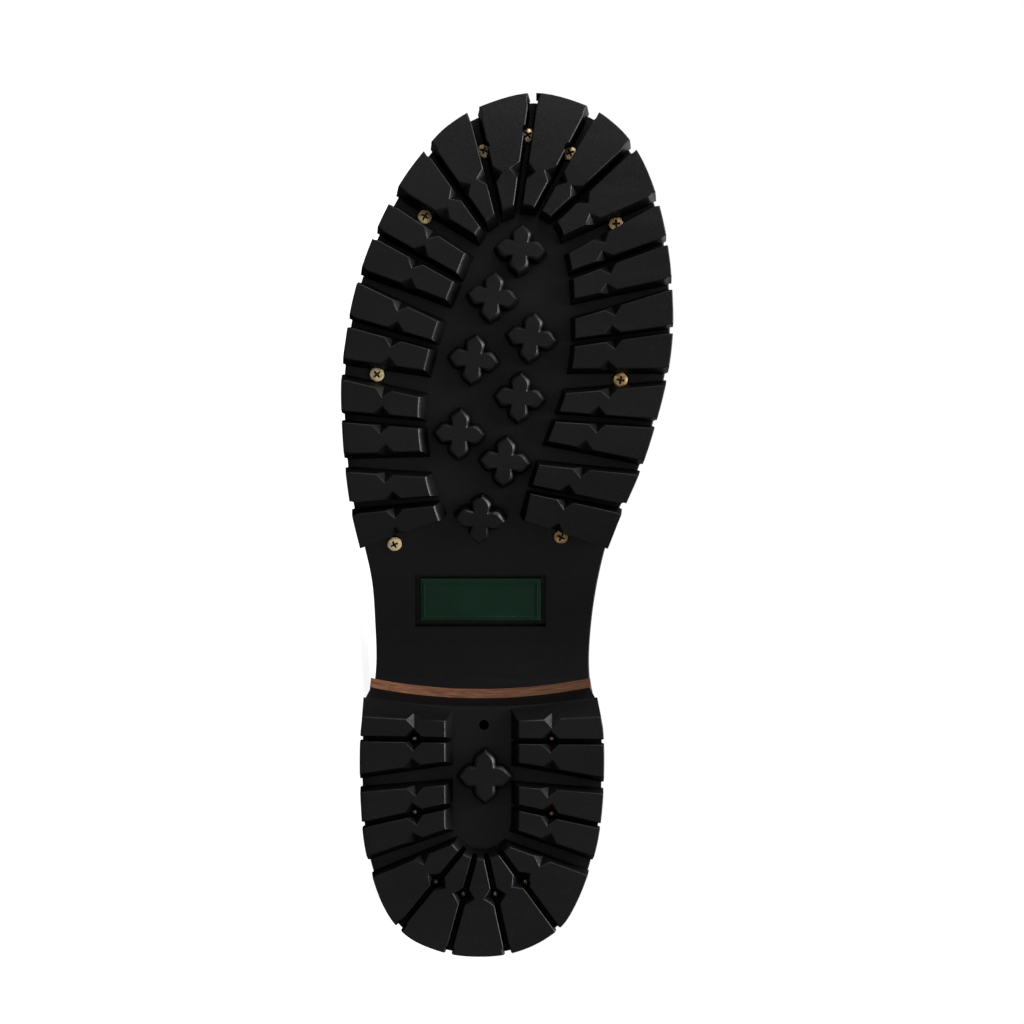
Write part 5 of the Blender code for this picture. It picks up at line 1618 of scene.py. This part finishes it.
def crease_lift(points):
    """Height of the leather over its plain form at each point, by its creases."""
    lift = np.zeros(len(points))
    for crease in all_creases():
        line = np.array(smooth(crease.line))
        gap, along = line_distance(points, line)
        fade = np.sin(np.clip(along, 0.0, 1.0) * math.pi) ** CREASE_FADE
        trough = np.exp(-(gap / crease.width) ** 2)
        ridge = np.exp(-((gap - RIDGE_AWAY * crease.width) / (RIDGE_WIDTH * crease.width)) ** 2)
        lift += crease.depth * fade * (CREASE_RIDGE * ridge - trough)
    return lift


def panel_lift(points):
    """Height of the counter and the back strap over the leather under them."""
    line = np.array(smooth(COUNTER_LINE))[:, [0, 2]]
    flat = points[:, [0, 2]]
    gap, _ = line_distance(flat, line)
    roof = np.interp(flat[:, 0], line[:, 0], line[:, 1])
    under = (flat[:, 1] < roof) & (flat[:, 0] < line[-1, 0] + COUNTER_REACH)
    inside = np.where(under, gap, -gap)
    counter = COUNTER_RISE * soft_step(inside, -COUNTER_EDGE, COUNTER_EDGE)
    back = (points[:, 0] < STRAP_BEFORE) & (points[:, 2] > STRAP_FROM)
    strap = STRAP_RISE * soft_step(STRAP_HALF - np.abs(points[:, 1]), -STRAP_EDGE, STRAP_EDGE)
    return counter + np.where(back, strap, 0.0)


def floor_press(point):
    """How far the leather gives way upwards where it lies on the floor."""
    height = (LYING @ point).z / MM
    share = (height - FLOOR_LEAST) / FLOOR_SOFT
    if share > 1.0:
        return Vector()
    lifted = FLOOR_LEAST + FLOOR_SOFT * math.exp(share - 1.0)
    return LYING_TURN.transposed() @ Vector((0.0, 0.0, lifted - height))


def eyelet_places():
    """Row places along the throat, a pitch apart, from the first eyelets to the top ones."""
    fine = np.linspace(VAMP_ROW, COLLAR_ROW, 400)
    line = [section_at(place).top for place in fine]
    run = running_length(line)
    wanted = [EYELET_FIRST + EYELET_PITCH * i for i in range(EYELET_ROWS)]
    return [float(np.interp(w, run, fine)) for w in wanted]


def throat_at(place):
    """Half width of the throat at a row."""
    return section_at(place).throat


def eyelet_seats():
    """Point, way out and way along of each eyelet, on both sides of the throat."""
    step = 0.1
    seats = []
    for side in (-1, 1):
        for place in eyelet_places():
            offset = side * (throat_at(place) + EYELET_SETBACK)
            point, outward = near_ridge(place, offset)
            ahead = near_ridge(place + step, offset)[0] - point
            seats.append((point + outward * GAP, outward, ahead.normalized()))
    return seats


def wall_grid():
    """The upper's outer face as one sheet on a grid, with the step of its vamp kept on each point."""
    bm = bmesh.new()
    drop = bm.verts.layers.float.new("drop")
    shares = np.linspace(0.0, 1.0, WALL_COLUMNS + 1)
    rows = wall_rows()
    for side in (-1, 1):
        grid = [[(point, 0.0) for point in row] for row in toe_front(side, shares)]
        for row in rows:
            line = []
            for share in shares:
                place = float(row(share))
                ahead = (seam_row(share) - place) / VAMP_FADE
                step = VAMP_DROP * math.exp(-ahead * ahead) if ahead > 0.0 else 0.0
                line.append((surface(place, share, side), step))
            grid.append(line)
        made = []
        for line in grid:
            made.append([bm.verts.new(point) for point, _ in line])
            for vert, (_, step) in zip(made[-1], line):
                vert[drop] = step
        add_sheet(bm, made, flipped=side > 0)
    bmesh.ops.remove_doubles(bm, verts=bm.verts[:], dist=MERGE)
    bmesh.ops.dissolve_degenerate(bm, edges=bm.edges[:], dist=MERGE / 2)
    return bm, drop


def make_upper(finishes):
    """One hollow leather wall with its panels and creases, open underneath, at throat and collar."""
    bm, drop = wall_grid()
    bmesh.ops.recalc_face_normals(bm, faces=bm.faces[:])
    bm.normal_update()
    sample = max(bm.faces, key=lambda face: face.calc_center_median().y)
    if sample.normal.dot(sample.calc_center_median() - Vector(UPPER_MIDDLE)) < 0.0:
        bmesh.ops.reverse_faces(bm, faces=bm.faces[:])
        bm.normal_update()
    points = np.array([vert.co for vert in bm.verts])
    creases = crease_lift(points)
    panels = panel_lift(points)
    # Wear and painted highlight on the crease ridges and on the raised edges of the panels
    wear = bm.verts.layers.float.new("wear")
    edges = EDGE_WEAR_AND_HIGHLIGHT * soft_step(panels, *EDGE_WORN_AND_HIGHLIT) * (panels < EDGE_WORN_AND_HIGHLIT_END)
    rims = np.clip(creases / RIDGE_WORN_AND_HIGHLIT, 0.0, 1.0) * RIDGE_WEAR_AND_HIGHLIGHT + edges
    for vert, crease, panel, worn in zip(bm.verts, creases, panels, rims):
        vert[wear] = float(worn)
        vert.co += vert.normal * (float(crease) + float(panel) - vert[drop])
        vert.co += floor_press(vert.co)
    centres = [point for point, _, _ in eyelet_seats()]
    holes = [face for face in bm.faces
             if any((face.calc_center_median() - centre).length < EYELET_SLEEVE for centre in centres)]
    bmesh.ops.delete(bm, geom=holes, context="FACES")
    upper = mesh_object("upper_leather", bm)
    skin = BVHTree.FromPolygons([vert.co for vert in upper.data.vertices],
                                [face.vertices for face in upper.data.polygons])
    layers = [finishes[look] for look in ("upper", "lining", "edge")]
    for layer in layers:
        upper.data.materials.append(layer)
    wall = thicken(upper, WALL)
    wall.material_offset = 1
    wall.material_offset_rim = 2
    apply_modifiers(upper)
    soft_shading(upper, WALL_ANGLE)
    kept = [face.material_index for face in upper.data.polygons]
    put_on_boot(upper, "upper_leather", ["upper"], *layers)
    upper.data.polygons.foreach_set("material_index", kept)
    return skin


def seats_along(path, ups, pitch):
    """Seats a pitch apart on a path: a point, the way out and the way along."""
    run = running_length(path)
    coords, outs = np.array(path), np.array(ups)
    reach = 0.5

    def at(place, values):
        return Vector([np.interp(place, run, values[:, k]) for k in range(3)])

    seats = []
    for place in np.arange(pitch / 2, run[-1], pitch):
        along = at(place + reach, coords) - at(place - reach, coords)
        seats.append((at(place, coords), at(place, outs).normalized(), along.normalized()))
    return seats


def on_skin(skin, points):
    """Points brought onto the leather, with the way out of it at each."""
    path, ups = [], []
    for point in points:
        hit, normal, _, _ = skin.find_nearest(Vector(point))
        path.append(hit)
        ups.append(normal)
    return path, ups


def beside(path, ups, distance):
    """A path moved sideways over the leather."""
    moved = []
    for index, point in enumerate(path):
        ahead = (path[min(index + 1, len(path) - 1)] - path[max(index - 1, 0)]).normalized()
        moved.append(point + ups[index].cross(ahead).normalized() * distance)
    return moved


def carried(skin, line, distance, steps=6, passes=24):
    """A line moved sideways over the leather by small steps, and made even."""
    for _ in range(steps):
        line = on_skin(skin, beside(*line, distance / steps))
    coords = np.array(line[0])
    for _ in range(passes):
        coords[1:-1] = coords[1:-1] / 2 + (coords[:-2] + coords[2:]) / 4
    return on_skin(skin, coords)


def behind(line, seam):
    """The part of a line that lies on the heel's side of a seam."""
    seam = np.array(seam)
    kept = []
    for point, outward in zip(*line):
        near = seam[np.linalg.norm(seam - np.array(point), axis=1).argmin()]
        if point.x < near[0] - STAY_EDGE:
            kept.append((point, outward))
    return tuple(zip(*kept))


def seam_lines(skin, side):
    """The seams of one side: a path over the leather and the distances of its stitch rows."""
    shares = np.linspace(*VAMP_SHARES, SEAM_POINTS)
    vamp = on_skin(skin, [surface(seam_row(share) + VAMP_BEHIND, share, side) for share in shares])
    counter = on_skin(skin, [(a, side * b, c) for a, b, c in smooth(COUNTER_LINE, COUNTER_STEPS)])
    facing = np.linspace(seam_row(FACING_SHARE) + FACING_FROM, COLLAR_ROW - FACING_END, FACING_POINTS)
    edge = on_skin(skin, [near_ridge(row, side * (throat_at(row) + STAY_EDGE))[0] for row in facing])
    stay = behind(carried(skin, edge, -side * (EYESTAY - STAY_EDGE)), vamp[0])
    band_row = COLLAR_ROW - COLLAR_BAND / SHAFT_ROW
    band_shares = np.linspace(*BAND_SHARES, SEAM_POINTS)
    band = on_skin(skin, [surface(band_row, share, side) for share in band_shares])
    strap_rows = np.linspace(STRAP_FIRST_ROW, COLLAR_ROW - STRAP_END, STRAP_POINTS)
    strap = on_skin(skin, [near_back(row, side * STRAP_HALF) for row in strap_rows])
    return {
        "vamp": (vamp, [-side * row for row in SEAM_ROWS]),
        "counter": (counter, [side * row for row in SEAM_ROWS]),
        "stay": (stay, STAY_ROWS),
        "edge": (edge, [0.0]),
        "band": (band, [0.0]),
        "strap": (strap, [0.0]),
    }


def near_back(place, offset):
    """A point by its distance across from the back seam."""
    section = section_at(place)
    side = -1 if offset < 0 else 1
    return wall_point(section, side, angle_for(section.inner_half, abs(offset), section.power))


def make_seams(finishes, tree, skin):
    """Stitch rows of the upper, and the cut edges of its panels."""
    seats = []
    edges = bmesh.new()
    for side in (-1, 1):
        for name, ((path, ups), rows) in seam_lines(skin, side).items():
            if name in ("vamp", "counter"):
                add_tube(edges, path, SEAM_CORD, SEAM_SIDES)
            for row in rows:
                line, outs = on_skin(skin, beside(path, ups, row))
                raised = [point + out * STITCH_RISE for point, out in zip(line, outs)]
                seats += seats_along(raised, outs, UPPER_STITCH.pitch)
    stitch_rows("upper_stitches", tree, seats, UPPER_STITCH, finishes["thread"], "upper_leather")
    edge = outward_object("panel_edges", edges)
    edge.data.shade_smooth()
    put_on_boot(edge, "upper_leather", (), finishes["edge"])


def make_tongue(finishes):
    """The tongue under the throat, pressed down where the lace passes under the facings."""
    places = even_places(TONGUE_FIRST_ROW, TONGUE_TOP_ROW, TONGUE_STEP)
    columns = np.linspace(-1.0, 1.0, TONGUE_COLUMNS)
    first, last = eyelet_places()[0], eyelet_places()[-1]
    bm = bmesh.new()
    wear = bm.verts.layers.float.new("wear")
    grid = []
    for place in places:
        start = soft_step(place, first + LACED_START[0], first + LACED_START[1])
        end = soft_step(place, last + LACED_END[0], last + LACED_END[1])
        laced = float(start * (1.0 - end))
        top = max((place - (TONGUE_TOP_ROW - TONGUE_TOP)) / TONGUE_TOP, 0.0)
        half = TONGUE_HALF * (1.0 - TONGUE_NARROWING * top ** 3)
        line = []
        for column in columns:
            offset = column * half
            under = abs(offset) - throat_at(min(place, COLLAR_ROW))
            held = float(soft_step(under, *PRESS_START) * (1.0 - soft_step(under, *PRESS_END)))
            pressed = PRESS_DEPTH * held
            puff = PUFF * math.cos(column * math.pi / 2)
            point = near_ridge(place, offset, WALL + TONGUE_GAP + pressed * laced - puff)[0]
            line.append(bm.verts.new(point))
            line[-1][wear] = TONGUE_WEAR * abs(column) ** TONGUE_WEAR_POWER
        grid.append(line)
    add_sheet(bm, grid)
    bm.normal_update()
    outward = near_ridge(places[len(places) // 2], 0.0)[1]
    bm.faces.ensure_lookup_table()
    if bm.faces[len(bm.faces) // 2].normal.dot(outward) < 0.0:
        bmesh.ops.reverse_faces(bm, faces=bm.faces[:])
    tongue = mesh_object("tongue_leather", bm)
    thicken(tongue, TONGUE)
    soft = tongue.modifiers.new("soft", "BEVEL")
    soft.width = TONGUE_RIM
    soft.segments = TONGUE_RIM_STEPS
    soft.limit_method = "ANGLE"
    soft.angle_limit = TONGUE_RIM_ANGLE
    apply_modifiers(tongue)
    soft_shading(tongue, TONGUE_ANGLE)
    return put_on_boot(tongue, "upper_leather", ["tongue"], finishes["upper"])


# Eyelets and lace

def make_eyelets(finishes, tree):
    """Brass eyelets with a rolled flange and an open bore."""
    eyelet = turned("eyelet", EYELET_PROFILE, EYELET_SIDES, closed_ends=False)
    even_shading(eyelet, EYELET_ANGLE)
    numbers = range(1, EYELET_ROWS + 1)
    nodes = [f"eyelet_{side}_{number}" for side in ("outer", "inner") for number in numbers]
    return fittings("eyelets", tree, eyelet_seats(), eyelet, finishes["eyelet"], "eyelet_brass", nodes)


def lace_half(first_side, over):
    """Half of the lace: from the middle of the lowest bar, in at each eyelet and across to the next.

    Each point is a share of the way to the next row, a place across and a depth under the wall.
    """
    places = eyelet_places()
    under, bore = WALL + LACE_RADIUS + 0.25, WALL * 0.5
    outside, crown = -(LACE_RADIUS + 0.3), -(LACE_RADIUS + 1.15)
    on_tongue = WALL + TONGUE_GAP - LACE_RADIUS - 0.4
    crossing = on_tongue - 2.0 * LACE_RADIUS if over else on_tongue
    throat, setback = throat_at(places[0]), EYELET_SETBACK
    hole = first_side * (throat + setback)
    path = [(places[0], 0.0, on_tongue - 0.6), (places[0], 0.55 * first_side * throat, on_tongue - 1.2),
            (places[0], first_side * (throat + 2.0), outside), (places[0], hole - first_side * 3.2, crown),
            (places[0], hole - first_side * 0.6, -1.0), (places[0], hole, bore)]
    side = first_side
    for place, following in zip(places, places[1:]):
        throat, ahead = throat_at(place), throat_at(following)

        def row(share):
            return place + (following - place) * share

        path += [(row(0.02), side * (throat + setback - 0.8), under),
                 (row(0.16), side * (throat + 3.5), under + 0.3),
                 (row(0.3), side * (throat - 2.5), under - 0.9),
                 (row(0.5), 0.0, crossing),
                 (row(0.7), -side * (ahead - 3.5), on_tongue - 2.2),
                 (row(0.8), -side * (ahead + 1.5), outside),
                 (row(0.93), -side * (ahead + setback - 3.4), crown),
                 (row(0.99), -side * (ahead + setback - 0.7), -1.0),
                 (row(1.0), -side * (ahead + setback), bore)]
        side = -side
    last = path[-1]
    path.append((last[0], last[1] - side * 0.5, under - 0.3))
    return [near_ridge(place, offset, depth)[0] for place, offset, depth in path]


def make_lace(finishes):
    """A round lace from top eyelet to top eyelet, over the throat and in at every eyelet."""
    outer, inner = lace_half(-1, False), lace_half(1, True)
    route = [Vector(point) for point in smooth(outer[::-1] + inner[1:], LACE_STEPS)]
    bm = bmesh.new()
    cord = bm.loops.layers.uv.new("cord")
    add_tube(bm, route, LACE_RADIUS, LACE_SIDES, cord, 1.0 / (math.tau * LACE_RADIUS))
    lace = outward_object("lace_cord", bm)
    lace.data.shade_smooth()
    return put_on_boot(lace, "lace_cord", ["lace"], finishes["lace"])


# Camera, floor and light

VIEW_CENTRE = (156.8, 10.6)
VIEW_WIDTH = 361.4
VIEW_DISTANCE = 2400.0
SENSOR = 36.0
FLOOR_SIZE, FLOOR_DROP = 6.0, 0.0003
SKY_LIGHT = 0.22

Light = namedtuple("Light", "name place aim size power colour")
LIGHTS = (
    Light("key", (-0.25, -0.55, 1.25), (0.0, -0.05, 0.04), (1.1, 0.9), 34.0, (0.95, 0.98, 1.0)),
    Light("toe_side", (-1.3, -0.75, 0.55), (0.0, -0.1, 0.05), (0.8, 0.8), 6.0, (1.0, 1.0, 1.0)),
    Light("back", (0.5, 1.2, 1.1), (0.0, 0.0, 0.05), (1.2, 1.0), 16.0, (1.0, 0.98, 0.95)),
)


def make_camera():
    """A camera square to the tread, with the toe up in the picture."""
    data = bpy.data.cameras.new("camera")
    data.sensor_width = SENSOR
    data.lens = data.sensor_width * VIEW_DISTANCE / VIEW_WIDTH
    camera = bpy.data.objects.new("camera", data)
    bpy.context.scene.collection.objects.link(camera)
    right, upward, backward = (LYING_TURN @ Vector(axis) for axis in ((0, 1, 0), (1, 0, 0), (0, 0, -1)))
    turn = Matrix((right, upward, backward)).transposed().to_4x4()
    camera.matrix_world = Matrix.Translation(LYING @ Vector((*VIEW_CENTRE, -VIEW_DISTANCE))) @ turn
    bpy.context.scene.camera = camera


def make_floor():
    """A plain floor that looks white but throws little light back, with soft shadow at the boot."""
    bm = bmesh.new()
    bmesh.ops.create_grid(bm, x_segments=1, y_segments=1, size=FLOOR_SIZE)
    floor = mesh_object("floor", bm)
    floor.location.z = -FLOOR_DROP
    look = Look("pale_floor")
    look.set(Base_Color=(0.16, 0.16, 0.165, 1.0), Roughness=0.9, Specular_IOR_Level=0.1)
    seen = look.add("ShaderNodeLightPath", {}).outputs["Is Camera Ray"]
    away = look.add("ShaderNodeVectorMath", {"Vector": look.place}, operation="LENGTH").outputs["Value"]
    before = look.span(look.across("Y"), 1.1, 0.9, -0.05, 0.03)
    glow = look.sum(look.span(away, 0.9, 1.1, 0.22, 0.6), before, "MAXIMUM")
    look.set(Emission_Color=(1.0, 1.0, 1.0, 1.0), Emission_Strength=look.sum(seen, glow, "MULTIPLY"))
    floor.data.materials.append(look.material)


def add_light(light):
    """A soft square light that looks at a point."""
    data = bpy.data.lights.new(light.name, "AREA")
    data.shape = "RECTANGLE"
    data.size, data.size_y = light.size
    data.energy = light.power
    data.color = light.colour
    lamp = bpy.data.objects.new(light.name, data)
    bpy.context.scene.collection.objects.link(lamp)
    lamp.location = light.place
    ahead = Vector(light.aim) - Vector(light.place)
    lamp.rotation_euler = ahead.to_track_quat("-Z", "Y").to_euler()


def make_light():
    """Soft studio light from above, from the toe's side and from behind, and a pale surrounding."""
    world = bpy.data.worlds.new("studio")
    bpy.context.scene.world = world
    world.use_nodes = True
    nodes, links = world.node_tree.nodes, world.node_tree.links
    sky = nodes["Background"]
    seen = nodes.new("ShaderNodeLightPath")
    shade = nodes.new("ShaderNodeMapRange")
    shade.inputs["To Min"].default_value = SKY_LIGHT
    shade.inputs["To Max"].default_value = 1.0
    links.new(seen.outputs["Is Camera Ray"], shade.inputs["Value"])
    links.new(shade.outputs["Result"], sky.inputs["Strength"])
    sky.inputs["Color"].default_value = (1.0, 1.0, 1.0, 1.0)
    for light in LIGHTS:
        add_light(light)
    bpy.context.scene.view_settings.view_transform = "Standard"


def main():
    """The whole scene: camera, light and floor, then every piece of the boot."""
    make_camera()
    make_light()
    make_floor()
    finishes = make_finishes()
    stitches, metal = stitch_tree(), fitting_tree()
    make_outsole(finishes)
    make_panel(finishes)
    make_screws(finishes, metal)
    make_heel(finishes)
    make_nails(finishes, metal)
    make_heel_lift(finishes)
    make_welt(finishes)
    stitch_rows("welt_stitches", stitches, welt_seats(), WELT_STITCH, finishes["welt_thread"],
                "welt_leather")
    make_insole(finishes)
    skin = make_upper(finishes)
    make_seams(finishes, stitches, skin)
    make_tongue(finishes)
    make_eyelets(finishes, metal)
    make_lace(finishes)


main()
